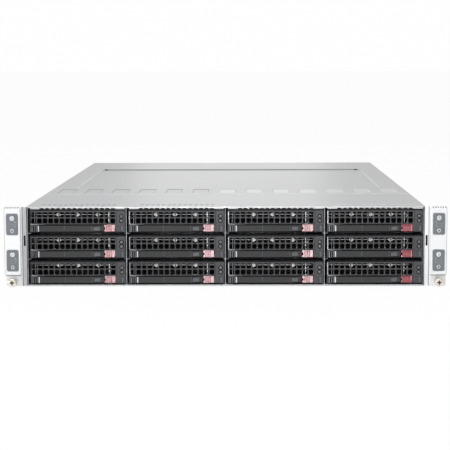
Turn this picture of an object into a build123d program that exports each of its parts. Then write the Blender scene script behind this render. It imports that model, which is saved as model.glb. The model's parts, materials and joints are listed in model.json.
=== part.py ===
from build123d import *
import math
import os

# A 2U rack server. Twelve drive trays stand at the front in four columns of three rows, with a row of fans
# behind them. Four server nodes and two power supplies slide in from the rear and plug into a midplane.
# X runs across, Y from the front to the rear and Z up. Lengths are in millimetres. The origin is the centre
# of the footprint, on the underside of the chassis.

# Chassis sheet metal
CHASSIS_W = 438.0
CHASSIS_H = 88.0
CHASSIS_D = 724.0
SHEET = 1.0
SEAM = 0.3  # gap between two sheets that slide past one another
SMALL_SIDES = 8  # faces drawn round small holes, notches and lenses
LARGE_SIDES = 16  # faces drawn round fans, knobs and keys
COVER_FLANGE = 12.0  # height of the covers' side flanges
FRONT_COVER_D = 155.0
LIP_H = 2.2  # folded front edge of the front cover

# Top cover pressings
RECESS_W = 377.0
RECESS_FRONT = 229.0  # behind the chassis front
RECESS_BACK = 580.0
RECESS_DEPTH = 1.6
EMBOSS_COUNT = 13
EMBOSS_W = 19.4
EMBOSS_D = 55.0
EMBOSS_FRONT = 169.0
EMBOSS_PITCH = 32.75
EMBOSS_DEPTH = 0.4

# Front perforations and the contact comb under the lip
COMB_DROP = 2.0
COMB_T = 0.6
COMB_BACK = 4.0

# Drive bays
COLUMNS = 4
ROWS = 3
LEDGE_T = 0.9
LEDGE_REACH = 1.2  # ledge under a tray's rail
BAY_GAP_LEFT = 2.3  # bay wall to bezel
BAY_GAP_RIGHT = 0.5  # bezel to bay wall
ROW_GAP = 3.2  # bezel to bezel, up and down
ROW_MARGIN = 3.6  # top bezel to the top of the chassis
RAIL_LIFT = 0.3  # tray rail above its ledge
RAIL_DROP = 0.2  # tray rail below its bezel

# Drive tray
BEZEL_D = 13.0
BEZEL_PROUD = 1.0
BEZEL_WALL = 1.4
BEZEL_FACE = 2.4
BEVEL = 1.4
GRILLE_H = 16.8
GRILLE_X = 4.4  # first column of holes from the left edge
HOLE_COLUMNS = 15
HOLE_PITCH = 6.2
HOLE_W = 5.0
HOLE_H = 5.5
HOLE_WEB = 1.3
HOLE_TOP = 2.75  # first row's upper edge below the bezel's top
FLOOR_LIP = 0.8
LEFT_BLOCK = 7.7
RIGHT_BLOCK = 10.9
LENS_R = 2.0
LENS_X = 4.2  # from the bezel's right edge
LENS_DROP = 7.3
LENS_PITCH = 4.9
LENS_PROUD = 0.3
RAIL_T = 1.4
DRIVE_FIT = 0.2
DRIVE_Y = 31.0
DRIVE_D = 147.0
DRIVE_CORNER = 3.0
BAR_Y = 28.0
BAR_Z = 16.0
BAR_H = 1.2
BAR_T = 1.0

# Tray lever and release button
LEVER_T = 6.0
LEVER_GAP = 0.3
LEVER_PLAY = 0.2  # above and below
PIN_R = 1.0
PIN_FIT = 0.06
SCOOP_L = 13.0
SCOOP_DEPTH = 3.2
TAIL_X = 2.4
TAIL_Y = 9.0
BUTTON_W = 12.1
BUTTON_D = 7.0
BUTTON_RISE = 1.0  # the button stands this much higher than the lever
NOTCH_R = 1.3

# Backplane, fans and midplane
BOARD_T = 2.4
BOARD_SEAT = 0.2  # board to side wall
PLUG_T = 2.7
PLUG_GAP = 0.3
PLUG_W = 44.0
PLUG_H = 5.0
WINDOW_W = 84.0
WINDOW_H = 9.0
FAN = 80.0
FAN_D = 38.0
FAN_BORE = 38.0
FAN_GAP = 8.0
HUB_R = 16.5
HUB_GAP = 0.3
STRUT_W = 4.0
STRUT_T = 3.0
BLADES = 5
BLADE_T = 1.6
BLADE_PITCH = 35.0
BLADE_GAP = 1.2
MIDPLANE_GAP = 12.0

# Rear bays
PSU_W = 73.5
PSU_D = 265.0
PSU_FIT = 0.5
SHELF_T = 0.8
LEVEL_FIT = 0.3
LEVEL_ROOM = 1.0
SLED_FIT = 0.4
SLED_PLUG = 8.0
SLED_PLUG_W = 88.0
SLED_PLUG_DROP = 2.0  # the plug reaches below the circuit board

# Node sled
SLED_WALL = 34.0
STANDOFF = 5.0
CIRCUIT_T = 1.6
SINK_W = 78.0
SINK_D = 108.0
SINK_H = 25.0
SINK_BASE = 5.0
FIN_T = 3.0
FINS = 6
DIMM_D = 133.4
DIMM_H = 30.0
DIMM_T = 3.0
DIMM_PITCH = 9.0
DIMMS = 4
PORT_W = 16.0
PORT_H = 13.5
PORT_D = 21.0
PORTS = 3
PORT_RECESS = 3.0
PORT_RIM = 2.0
SLOT_W = 79.0
SLOT_H = 16.0
VENT_W = 3.6
VENT_H = 12.0
VENT_PITCH = 9.0
VENTS = 8

# Rear handles
HANDLE_REACH = 30.0
HANDLE_W = 62.0
HANDLE_BAR = 5.0
HANDLE_H = 9.0
HANDLE_CUT = 6.0

# Power supply rear end
END_D = 18.0
INLET_W = 27.4
INLET_H = 19.8
INLET_D = 15.0
INLET_SIDE = 5.0
PSU_VENT_H = 28.0
PSU_VENT_W = 3.2
PSU_VENTS = 5
PSU_HANDLE_W = 30.0
TAB_W = 8.0
TAB_D = 12.0
TAB_H = 14.0

# Rack ears and control panels
EAR_REACH = 22.3  # beyond the side of the chassis
EAR_T = 2.0
EAR_LEG = 30.0
EAR_CLEAR = 0.4
HOUSING_W = 17.5
HOUSING_D = 7.0
HOUSING_Z = 13.4
HOUSING_R = 1.0
RACK_HOLE_IN = 8.75  # middle of the rack hole, in from the ear's outer edge
RACK_HOLE_Z = 5.95
PANEL_W = 12.7
PANEL_H = 23.3
PANEL_T = 0.6
PANEL_PROUD = 0.2
PANEL_Z = 57.6  # lower edge of the upper panel
PANEL_PITCH = 39.9
POWER_R = 2.5
POWER_DROP = 5.1
IDENT_R = 2.0
IDENT_DROP = 18.9
KEY_D = 4.0
KEY_PROUD = 1.0
KEY_GAP = 0.3

# Captive thumbscrews
KNOB_R = 4.8
KNOB_REACH = 17.0
KNOB_D = 9.5
COLLAR_R = 3.4
NECK_R = 2.2
NECK_OUT = 0.5  # the neck ends just behind the flange
SHANK_R = 2.5
SHANK_OUT = 9.0
SHANK_FIT = 0.3
CROSS_W = 1.3
CROSS_L = 5.0
CROSS_D = 1.6

# Places worked out from the sizes above
LENGTH = KNOB_REACH + CHASSIS_D + HANDLE_REACH
FRONT = KNOB_REACH - LENGTH / 2
REAR = FRONT + CHASSIS_D
EAR_SPAN = CHASSIS_W + 2 * EAR_REACH
RACK_PITCH = EAR_SPAN - 2 * RACK_HOLE_IN
PAN_OUT = CHASSIS_W / 2 - SHEET - SEAM
PAN_IN = PAN_OUT - SHEET
PAN_TOP = CHASSIS_H - SHEET - SEAM
BOARD_HALF = PAN_IN - BOARD_SEAT
BAY_W = (2 * PAN_IN - (COLUMNS - 1) * SHEET) / COLUMNS
BAY_PITCH = BAY_W + SHEET
BEZEL_W = BAY_W - BAY_GAP_LEFT - BAY_GAP_RIGHT
BEZEL_Z = SHEET + LEDGE_T + RAIL_LIFT + RAIL_DROP
ROW_PITCH = (CHASSIS_H - ROW_MARGIN - BEZEL_Z + ROW_GAP) / ROWS
BEZEL_H = ROW_PITCH - ROW_GAP
TRAY_Y = FRONT - BEZEL_PROUD
BACKPLANE_Y = TRAY_Y + DRIVE_Y + DRIVE_D + PLUG_GAP + PLUG_T
FAN_Y = BACKPLANE_Y + BOARD_T + FAN_GAP
MIDPLANE_Y = FAN_Y + FAN_D + MIDPLANE_GAP
BAY_WALL = PSU_W / 2 + PSU_FIT
LEVEL_TOP = CHASSIS_H - SHEET - RECESS_DEPTH
LEVEL_H = (LEVEL_TOP - SHEET - SHELF_T) / 2
SLED_H = LEVEL_H - LEVEL_FIT - LEVEL_ROOM
PSU_H = SLED_H - SEAM
SLED_W = PAN_IN - BAY_WALL - SHEET - 2 * SLED_FIT
SLED_Y = MIDPLANE_Y + BOARD_T + SLED_PLUG
SLED_D = REAR - SLED_Y
CHANNEL_TOP = BEZEL_H - GRILLE_H - SHEET
LEVER_Z = FLOOR_LIP + LEVER_PLAY
LEVER_H = CHANNEL_TOP - FLOOR_LIP - 2 * LEVER_PLAY
LEVER_X = LEFT_BLOCK + LEVER_GAP
BUTTON_X = BEZEL_W - RIGHT_BLOCK - LEVER_GAP - BUTTON_W
LEVER_END = BUTTON_X - LEVER_GAP
BUTTON_TOP = LEVER_Z + LEVER_H + BUTTON_RISE
PIVOT_X = LEVER_X + LEVER_T / 2
PIVOT_Y = LEVER_GAP + LEVER_T / 2


def block(x0, x1, y0, y1, z0, z1):
    """A box given by its six faces."""
    return Pos((x0 + x1) / 2, (y0 + y1) / 2, (z0 + z1) / 2) * Box(x1 - x0, y1 - y0, z1 - z0)


def drawn_y(outline, y0, y1):
    """An outline of (x, z) points, drawn out from y0 to y1."""
    wire = Wire.make_polygon([(x, y0, z) for x, z in outline], close=True)
    return extrude(Face(wire), amount=y1 - y0, dir=(0, 1, 0))


def drawn_z(outline, z0, z1):
    """An outline of (x, y) points, drawn up from z0 to z1."""
    wire = Wire.make_polygon([(x, y, z0) for x, y in outline], close=True)
    return extrude(Face(wire), amount=z1 - z0, dir=(0, 0, 1))


def rod_y(radius, y0, y1):
    """A round rod about the Y axis, from y0 to y1."""
    return Pos(0, (y0 + y1) / 2, 0) * Rot(90, 0, 0) * Cylinder(radius, y1 - y0)


def ring(radius, count, x=0, y=0):
    """A regular outline about (x, y) whose corners lie on the radius: a small round form in few faces."""
    step = 2 * math.pi / count
    return [
        (x + radius * math.cos((index + 0.5) * step), y + radius * math.sin((index + 0.5) * step))
        for index in range(count)
    ]


def ring_around(radius, count, x=0, y=0):
    """A regular outline about (x, y) whose flats lie on the radius, so that a ring turns inside it."""
    return ring(radius / math.cos(math.pi / count), count, x, y)


def save(name, *pieces):
    """Writes one node, made of one or more separate solids."""
    solids = [solid for piece in pieces for solid in piece.solids()]
    export_step(Compound(solids), f"parts/{name}.step")


def column_x(column):
    """Left edge of the bezels in one column."""
    return -PAN_IN + column * BAY_PITCH + BAY_GAP_LEFT


def row_z(row):
    """Underside of the bezels in one row, counted from the top."""
    return BEZEL_Z + (ROWS - 1 - row) * ROW_PITCH


def ledge_tops():
    """Heights of the ledges that the tray rails run on."""
    return [row_z(row) - RAIL_DROP - RAIL_LIFT for row in range(ROWS)]


# Sheet-metal chassis


def base_pan():
    """Floor and side walls in one folded sheet."""
    outline = [
        (-PAN_OUT, 0),
        (PAN_OUT, 0),
        (PAN_OUT, PAN_TOP),
        (PAN_IN, PAN_TOP),
        (PAN_IN, SHEET),
        (-PAN_IN, SHEET),
        (-PAN_IN, PAN_TOP),
        (-PAN_OUT, PAN_TOP),
    ]
    return drawn_y(outline, FRONT, REAR)


def rear_frame():
    """Walls of the power supply bay and the shelf between the two levels, fused into one welded frame."""
    shelf_z = SHEET + LEVEL_H
    frame = block(-PAN_IN, PAN_IN, SLED_Y, REAR, shelf_z, shelf_z + SHELF_T)
    for side in (-1, 1):
        inner, outer = sorted((side * BAY_WALL, side * (BAY_WALL + SHEET)))
        frame += block(inner, outer, SLED_Y, REAR, SHEET, LEVEL_TOP)
    return frame


def cage_outline():
    """Section of one bay wall: a web with a ledge for each row on both sides."""
    half = SHEET / 2
    left = half + BAY_GAP_RIGHT + LEDGE_REACH
    right = half + BAY_GAP_LEFT + LEDGE_REACH
    points = [(half, SHEET)]
    for top in sorted(ledge_tops()):
        points.extend([(half, top - LEDGE_T), (right, top - LEDGE_T), (right, top), (half, top)])
    points.extend([(half, PAN_TOP), (-half, PAN_TOP)])
    for top in sorted(ledge_tops(), reverse=True):
        points.extend([(-half, top), (-left, top), (-left, top - LEDGE_T), (-half, top - LEDGE_T)])
    points.append((-half, SHEET))
    return list(dict.fromkeys(points))


def drive_cage():
    """Three bay walls with their ledges, and the outer columns' ledges on the pan's side walls."""
    y0 = FRONT + SHEET + SEAM
    pieces = []
    for index in range(1, COLUMNS):
        x = index * BAY_PITCH - PAN_IN - SHEET / 2
        pieces.append(drawn_y([(x + dx, z) for dx, z in cage_outline()], y0, BACKPLANE_Y))
    left = BAY_GAP_LEFT + LEDGE_REACH - PAN_IN
    right = PAN_IN - BAY_GAP_RIGHT - LEDGE_REACH
    for top in ledge_tops():
        pieces.append(block(-PAN_IN, left, y0, BACKPLANE_Y, top - LEDGE_T, top))
        pieces.append(block(right, PAN_IN, y0, BACKPLANE_Y, top - LEDGE_T, top))
    return pieces


def side_flanges(y0, y1):
    """The two side flanges of a cover, under the edges of its sheet."""
    half = CHASSIS_W / 2
    low = CHASSIS_H - COVER_FLANGE
    top = CHASSIS_H - SHEET
    return [block(-half, SHEET - half, y0, y1, low, top), block(half - SHEET, half, y0, y1, low, top)]


def front_cover():
    """The fixed cover over the drive bays: sheet, flanges, front lip and the comb strip of each column."""
    half = CHASSIS_W / 2
    under = CHASSIS_H - SHEET
    end = FRONT + FRONT_COVER_D
    lip_half = PAN_IN - SEAM
    sheet = block(-half, half, FRONT, end, under, CHASSIS_H)
    lip = block(-lip_half, lip_half, FRONT, FRONT + SHEET, CHASSIS_H - LIP_H, under)
    y = FRONT + COMB_BACK
    strips = []
    for column in range(COLUMNS):
        x = column_x(column)
        strips.append(block(x, x + BEZEL_W, y, y + COMB_T, under - COMB_DROP, under))
    return [sheet, lip, *side_flanges(FRONT, end), *strips]


def top_cover():
    """The lift-off cover: a sheet with a pressed panel and a row of pressed rectangles, and its flanges."""
    y0 = FRONT + FRONT_COVER_D + SEAM
    half = CHASSIS_W / 2
    sheet = block(-half, half, y0, REAR, CHASSIS_H - SHEET, CHASSIS_H)
    recess = RECESS_W / 2
    floor = CHASSIS_H - RECESS_DEPTH
    front = FRONT + RECESS_FRONT
    back = FRONT + RECESS_BACK
    sheet += block(
        -recess - SHEET, recess + SHEET, front - SHEET, back + SHEET, floor - SHEET, CHASSIS_H - SHEET
    )
    sheet -= block(-recess, recess, front, back, floor, CHASSIS_H)
    for index in range(EMBOSS_COUNT):
        x = (index - (EMBOSS_COUNT - 1) / 2) * EMBOSS_PITCH
        y = FRONT + EMBOSS_FRONT
        sheet -= block(
            x - EMBOSS_W / 2, x + EMBOSS_W / 2, y, y + EMBOSS_D, CHASSIS_H - EMBOSS_DEPTH, CHASSIS_H
        )
    return [sheet, *side_flanges(y0, REAR)]


# Drive tray, in its own frame: x from the bezel's left edge, y from its face, z from its underside


def grille_holes():
    """One tall opening per column of holes, which the bar behind the face divides into two rows."""
    top = BEZEL_H - HOLE_TOP
    low = top - 2 * HOLE_H - HOLE_WEB
    holes = []
    for index in range(HOLE_COLUMNS):
        x = GRILLE_X + index * HOLE_PITCH
        holes.append(block(x - HOLE_W / 2, x + HOLE_W / 2, 0, BEZEL_FACE, low, top))
    return holes


def bezel():
    """Moulded tray front: a slotted face over the channel that holds the lever and its button."""
    outline = [(0, BEVEL), (BEVEL, 0), (BEZEL_W, 0), (BEZEL_W, BEZEL_D), (0, BEZEL_D)]
    front = drawn_z(outline, 0, BEZEL_H)
    inner_x = BEZEL_W - BEZEL_WALL
    web_top = CHANNEL_TOP + SHEET
    front -= block(BEZEL_WALL, inner_x, BEZEL_FACE, BEZEL_D, web_top, BEZEL_H - BEZEL_WALL)
    front -= block(BEZEL_WALL, inner_x, BEZEL_FACE, BEZEL_D, FLOOR_LIP, CHANNEL_TOP)
    front -= block(LEFT_BLOCK, BEZEL_W - RIGHT_BLOCK, 0, BEZEL_FACE, FLOOR_LIP, CHANNEL_TOP)
    button_x = BUTTON_X - LEVER_GAP
    front -= block(button_x, BEZEL_W - RIGHT_BLOCK, 0, BEZEL_D, CHANNEL_TOP, BUTTON_TOP + LEVER_PLAY)
    return front - grille_holes()


def grille_bar():
    """The bar across the back of the slotted face."""
    z = BEZEL_H - HOLE_TOP - HOLE_H - HOLE_WEB
    return block(BEZEL_WALL, BEZEL_W - BEZEL_WALL, BEZEL_FACE, BEZEL_FACE + SHEET, z, z + HOLE_WEB)


def lenses():
    """Two status lenses, one above the other, standing just proud of the face."""
    pieces = []
    for index in range(2):
        z = BEZEL_H - LENS_DROP - index * LENS_PITCH
        pieces.append(drawn_y(ring(LENS_R, SMALL_SIDES, BEZEL_W - LENS_X, z), -LENS_PROUD, 0))
    return pieces


def drive_tray():
    """Bezel, side rails, cross bar, lever pin and the drive between the rails."""
    rear = DRIVE_Y + DRIVE_D
    rails = [
        block(0, RAIL_T, BEZEL_D, rear, -RAIL_DROP, BEZEL_H - RAIL_LIFT),
        block(BEZEL_W - RAIL_T, BEZEL_W, BEZEL_D, rear, -RAIL_DROP, BEZEL_H - RAIL_LIFT),
    ]
    bar = block(RAIL_T, BEZEL_W - RAIL_T, BAR_Y, BAR_Y + BAR_T, BAR_Z, BAR_Z + BAR_H)
    x0 = RAIL_T + DRIVE_FIT
    x1 = BEZEL_W - x0
    corner = DRIVE_CORNER
    outline = [
        (x0 + corner, DRIVE_Y),
        (x1 - corner, DRIVE_Y),
        (x1, DRIVE_Y + corner),
        (x1, rear),
        (x0, rear),
        (x0, DRIVE_Y + corner),
    ]
    drive = drawn_z(outline, -LEDGE_T, BEZEL_H)
    pin = Pos(PIVOT_X, PIVOT_Y, (FLOOR_LIP + CHANNEL_TOP) / 2) * Cylinder(PIN_R, CHANNEL_TOP - FLOOR_LIP)
    return Compound([bezel(), grille_bar(), *lenses(), *rails, bar, drive, pin])


def tray_lever():
    """The lever: a round pivot end, a finger scoop at the far end and a short cam tail behind the pivot."""
    y0 = LEVER_GAP
    y1 = LEVER_GAP + LEVER_T
    scoop_x = LEVER_END - SCOOP_L
    top = Line((PIVOT_X, y0), (scoop_x, y0))
    scoop = Line((scoop_x, y0), (LEVER_END - SHEET, y0 + SCOOP_DEPTH))
    nose = Line((LEVER_END - SHEET, y0 + SCOOP_DEPTH), (LEVER_END, y0 + SCOOP_DEPTH))
    end = Line((LEVER_END, y0 + SCOOP_DEPTH), (LEVER_END, y1))
    back = Line((LEVER_END, y1), (PIVOT_X + LEVER_T, y1))
    tail = Line((PIVOT_X + LEVER_T, y1), (TAIL_X + SHEET, TAIL_Y))
    tip = Line((TAIL_X + SHEET, TAIL_Y), (TAIL_X, TAIL_Y - SHEET))
    inner = Line((TAIL_X, TAIL_Y - SHEET), (LEVER_X, PIVOT_Y))
    round_end = RadiusArc((LEVER_X, PIVOT_Y), (PIVOT_X, y0), LEVER_T / 2)
    outline = make_face([top, scoop, nose, end, back, tail, tip, inner, round_end])
    lever = extrude(outline, amount=LEVER_H, dir=(0, 0, 1))
    lever -= drawn_z(ring_around(PIN_R + PIN_FIT, SMALL_SIDES, PIVOT_X, PIVOT_Y), 0, LEVER_H)
    return Pos(0, 0, LEVER_Z) * lever


def release_button():
    """The red latch button, with a rounded notch in its left side."""
    button = block(BUTTON_X, BUTTON_X + BUTTON_W, 0, BUTTON_D, LEVER_Z, BUTTON_TOP)
    notch_z = (LEVER_Z + BUTTON_TOP) / 2
    return button - drawn_y(ring(NOTCH_R, SMALL_SIDES, BUTTON_X, notch_z), 0, BUTTON_D)


# Backplane, fans and midplane


def backplane():
    """Board behind the drives, with an air window and a socket for each."""
    board = block(-BOARD_HALF, BOARD_HALF, BACKPLANE_Y, BACKPLANE_Y + BOARD_T, SHEET + SEAM, PAN_TOP)
    sockets = []
    for column in range(COLUMNS):
        centre = column_x(column) + BEZEL_W / 2
        for row in range(ROWS):
            z = row_z(row)
            sockets.append(
                block(
                    centre - PLUG_W / 2, centre + PLUG_W / 2, BACKPLANE_Y - PLUG_T, BACKPLANE_Y, z, z + PLUG_H
                )
            )
            low = z + PLUG_H + RAIL_LIFT
            board -= block(
                centre - WINDOW_W / 2, centre + WINDOW_W / 2, BACKPLANE_Y, BACKPLANE_Y + BOARD_T,
                low, low + WINDOW_H,
            )
    return [board, *sockets]


def fan_x(index):
    """Middle of one fan; the fans stand behind the columns."""
    return column_x(index) + BEZEL_W / 2


def fan_z():
    return SHEET + SEAM + FAN / 2


def fan_housing():
    """Square frame with a round bore, and crossed struts at the rear that carry the motor."""
    half = FAN / 2
    frame = block(-half, half, 0, FAN_D, -half, half)
    frame -= drawn_y(ring_around(FAN_BORE, LARGE_SIDES), 0, FAN_D)
    strut_y = FAN_D - STRUT_T
    for width, height in ((FAN, STRUT_W), (STRUT_W, FAN)):
        frame += block(-width / 2, width / 2, strut_y, FAN_D, -height / 2, height / 2)
    return frame


def fan_rotor():
    """Hub with its blades, turned to the blades' pitch."""
    hub_end = FAN_D - STRUT_T - HUB_GAP
    rotor = drawn_y(ring(HUB_R, LARGE_SIDES), SEAM, hub_end)
    reach = FAN_BORE - BLADE_GAP
    width = hub_end / 2
    inner = HUB_R - 2 * BLADE_T
    middle = (inner + reach) / 2
    for index in range(BLADES):
        blade = Rot(BLADE_PITCH, 0, 0) * Box(reach - inner, width, BLADE_T)
        rotor += Rot(0, index * 360 / BLADES, 0) * Pos(middle, hub_end / 2, 0) * blade
    return rotor


def midplane():
    """Board between the fans and the nodes, with air windows beside its sockets."""
    z0 = SHEET + SEAM
    board = block(-BOARD_HALF, BOARD_HALF, MIDPLANE_Y, MIDPLANE_Y + BOARD_T, z0, LEVEL_TOP - SEAM)
    for index in range(COLUMNS):
        x = fan_x(index)
        for level in range(2):
            low = SHEET + level * (LEVEL_H + SHELF_T) + SLED_H / 2
            board -= block(
                x - WINDOW_W / 2, x + WINDOW_W / 2, MIDPLANE_Y, MIDPLANE_Y + BOARD_T, low, low + WINDOW_H * 2
            )
    return board


# Node sled, in its own frame: x from its left side, y from its front end, z from its underside


def sled_panel():
    """Rear panel with vents, and the blanking plate in its expansion slot."""
    panel = block(0, SLED_W, SLED_D - SHEET, SLED_D, SHEET, SLED_H)
    slot_x = SLED_W - SLOT_W - SHEET * 4
    slot_z = SLED_H - SLOT_H - SHEET * 3
    panel -= block(slot_x, slot_x + SLOT_W, SLED_D - SHEET, SLED_D, slot_z, slot_z + SLOT_H)
    cover = block(
        slot_x + SEAM, slot_x + SLOT_W - SEAM, SLED_D - SHEET, SLED_D, slot_z + SEAM, slot_z + SLOT_H - SEAM
    )
    for index in range(VENTS):
        x = SHEET * 6 + index * VENT_PITCH
        z = SLED_H - VENT_H - SHEET * 5
        panel -= block(x, x + VENT_W, SLED_D - SHEET, SLED_D, z, z + VENT_H)
    return [panel, cover]


def heat_sink():
    """A base with fins that run with the airflow."""
    step = (SINK_W - FIN_T) / (FINS - 1)
    points = [(0, 0), (SINK_W, 0)]
    for index in range(FINS - 1, -1, -1):
        x = index * step
        points.extend([(x + FIN_T, SINK_H), (x, SINK_H)])
        if index:
            points.extend([(x, SINK_BASE), (x - step + FIN_T, SINK_BASE)])
    return drawn_y(points, 0, SINK_D)


def port_block():
    """A row of sockets behind the rear panel's lower edge."""
    width = PORTS * PORT_W
    ports = block(0, width, 0, PORT_D, 0, PORT_H)
    for index in range(PORTS):
        x = index * PORT_W
        ports -= block(
            x + PORT_RIM, x + PORT_W - PORT_RIM, PORT_D - PORT_RECESS, PORT_D, PORT_RIM, PORT_H - PORT_RIM
        )
    return ports


def pull_handle(width):
    """A bar in a U with cut corners, lying flat, with its feet at y = 0."""
    outside = width / 2
    inside = outside - HANDLE_BAR
    reach = HANDLE_REACH - HANDLE_BAR
    cut = HANDLE_CUT / 2
    outline = [
        (-outside, 0),
        (-outside, HANDLE_REACH - HANDLE_CUT),
        (HANDLE_CUT - outside, HANDLE_REACH),
        (outside - HANDLE_CUT, HANDLE_REACH),
        (outside, HANDLE_REACH - HANDLE_CUT),
        (outside, 0),
        (inside, 0),
        (inside, reach - cut),
        (inside - cut, reach),
        (cut - inside, reach),
        (-inside, reach - cut),
        (-inside, 0),
    ]
    return drawn_z(outline, 0, HANDLE_H)


def node_sled():
    """Folded tray with its board, coolers, memory, ports and handle."""
    tray = drawn_y(
        [
            (0, 0),
            (SLED_W, 0),
            (SLED_W, SLED_WALL),
            (SLED_W - SHEET, SLED_WALL),
            (SLED_W - SHEET, SHEET),
            (SHEET, SHEET),
            (SHEET, SLED_WALL),
            (0, SLED_WALL),
        ],
        0,
        SLED_D - SHEET,
    )
    circuit_z = SHEET + STANDOFF
    top = circuit_z + CIRCUIT_T
    edge = SHEET + LEVEL_ROOM
    circuit = block(edge, SLED_W - edge, 0, SLED_D - SHEET - PORT_D, circuit_z, top)
    pieces = [tray, *sled_panel(), circuit]
    for x in (edge, SLED_W - edge - STANDOFF):
        for y in (SINK_D / 2, SLED_D - SINK_D):
            pieces.append(block(x, x + STANDOFF, y, y + STANDOFF, SHEET, circuit_z))
    for number in range(2):
        y = SINK_D / 2 + number * (SINK_D + STANDOFF * 4)
        pieces.append(Pos((SLED_W - SINK_W) / 2, y, top) * heat_sink())
    for side in (0, 1):
        for index in range(DIMMS):
            x = edge + STANDOFF + index * DIMM_PITCH
            x = SLED_W - x - DIMM_T if side else x
            y = SINK_D / 2 + side * SINK_D / 2
            pieces.append(block(x, x + DIMM_T, y, y + DIMM_D, top, top + DIMM_H - SHEET))
    plug_x = (SLED_W - SLED_PLUG_W) / 2
    plug_z = circuit_z - SLED_PLUG_DROP
    pieces.append(block(plug_x, plug_x + SLED_PLUG_W, -SLED_PLUG, 0, plug_z, top + PLUG_H))
    pieces.append(block(plug_x, plug_x + SLED_PLUG_W, 0, PLUG_H, top, top + PLUG_H))
    pieces.append(Pos(SHEET * 6, SLED_D - SHEET - PORT_D, SHEET) * port_block())
    pieces.append(Pos(SLED_W / 2, SLED_D, SHEET) * pull_handle(HANDLE_W))
    return Compound(pieces)


# Power supply, in its own frame: x from its middle, y from its front end, z from its underside


def power_supply():
    """Closed case with a socketed and vented rear end, a latch tab and a handle."""
    half = PSU_W / 2
    body = block(-half, half, 0, PSU_D - END_D, 0, PSU_H)
    end = block(-half, half, PSU_D - END_D, PSU_D, 0, PSU_H)
    x1 = half - INLET_SIDE
    z0 = (PSU_H - INLET_H) / 2
    end -= block(x1 - INLET_W, x1, PSU_D - INLET_D, PSU_D, z0, z0 + INLET_H)
    step = 2 * PSU_VENT_W
    for index in range(PSU_VENTS):
        x = -half + PSU_VENT_W + index * step
        z = (PSU_H - PSU_VENT_H) / 2
        end -= block(x, x + PSU_VENT_W, PSU_D - PORT_RECESS, PSU_D, z, z + PSU_VENT_H)
    handle_x = -half + PSU_HANDLE_W / 2 + PSU_VENT_W / 2
    handle = Pos(handle_x, PSU_D, (PSU_H - HANDLE_H) / 2) * pull_handle(PSU_HANDLE_W)
    tab_x = x1 - INLET_W - SHEET * 2
    tab = block(tab_x - TAB_W, tab_x, PSU_D, PSU_D + TAB_D, SHEET, SHEET + TAB_H)
    return Compound([body, end, handle, tab])


# Rack ears, control panels and thumbscrews, drawn for the right side and mirrored for the left


def on_sides(piece):
    """The piece on the right side and its mirror image on the left."""
    return [piece, mirror(piece, about=Plane.YZ)]


def ear_bracket():
    """Angle bracket: the flange that bolts to the rack post and the leg on the pan's side wall."""
    outer = EAR_SPAN / 2
    leg = block(PAN_OUT, PAN_OUT + SHEET, FRONT, FRONT + EAR_LEG, SHEET, CHASSIS_H - COVER_FLANGE - SEAM)
    flange = block(PAN_OUT, outer, FRONT - EAR_T, FRONT, EAR_CLEAR, CHASSIS_H - EAR_CLEAR)
    hole = Pos(RACK_PITCH / 2, FRONT, RACK_HOLE_Z) * rod_y(SHANK_R + SHANK_FIT, -2 * EAR_T, EAR_T)
    return leg + flange - hole


def panel_x():
    """Middle of the control panels."""
    return EAR_SPAN / 2 - HOUSING_W / 2


def panel_z(index):
    """Lower edge of one control panel, the upper one first."""
    return PANEL_Z - index * PANEL_PITCH


def ear_housing():
    """Moulded housing on the flange, with a window behind each control panel."""
    outer = EAR_SPAN / 2
    y1 = FRONT - EAR_T
    y0 = y1 - HOUSING_D
    housing = block(outer - HOUSING_W, outer, y0, y1, HOUSING_Z, CHASSIS_H)
    housing = chamfer(housing.edges().filter_by(Axis.Z).group_by(Axis.Y)[0], HOUSING_R)
    for index in range(2):
        z = panel_z(index)
        x = panel_x()
        housing -= block(x - PANEL_W / 2, x + PANEL_W / 2, y0, y1 - SHEET, z, z + PANEL_H)
    return housing


def key_places():
    """Places and radii of the power key and the identify key on each panel."""
    places = []
    for index in range(2):
        top = panel_z(index) + PANEL_H
        places.append((POWER_R, top - POWER_DROP))
        places.append((IDENT_R, top - IDENT_DROP))
    return places


def control_panel(index):
    """Flat panel set in its window, with a hole for each key."""
    y0 = FRONT - EAR_T - HOUSING_D - PANEL_PROUD
    x = panel_x()
    z = panel_z(index)
    panel = block(x - PANEL_W / 2, x + PANEL_W / 2, y0, y0 + PANEL_PROUD + PANEL_T, z, z + PANEL_H)
    for radius, key_z in key_places()[2 * index : 2 * index + 2]:
        hole = drawn_y(ring_around(radius + KEY_GAP, SMALL_SIDES, x, key_z), y0, y0 + PANEL_PROUD + PANEL_T)
        panel -= hole
    return panel


def key(radius):
    """A round key that stands proud of its panel."""
    return drawn_y(ring(radius, LARGE_SIDES), -KEY_PROUD, KEY_D)


def thumbscrew():
    """Captive screw: knob with a cross recess, collar, neck and threaded shank, turned about one axis."""
    knob_end = -KNOB_REACH + KNOB_D
    screw = drawn_y(ring(KNOB_R, LARGE_SIDES), -KNOB_REACH, knob_end)
    screw += drawn_y(ring(COLLAR_R, SMALL_SIDES), knob_end, -EAR_T)
    screw += drawn_y(ring(NECK_R, SMALL_SIDES), -EAR_T, NECK_OUT)
    screw += rod_y(SHANK_R, NECK_OUT, SHANK_OUT)
    for width, height in ((CROSS_L, CROSS_W), (CROSS_W, CROSS_L)):
        screw -= block(-width / 2, width / 2, -KNOB_REACH, CROSS_D - KNOB_REACH, -height / 2, height / 2)
    return Pos(RACK_PITCH / 2, FRONT, RACK_HOLE_Z) * screw


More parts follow.
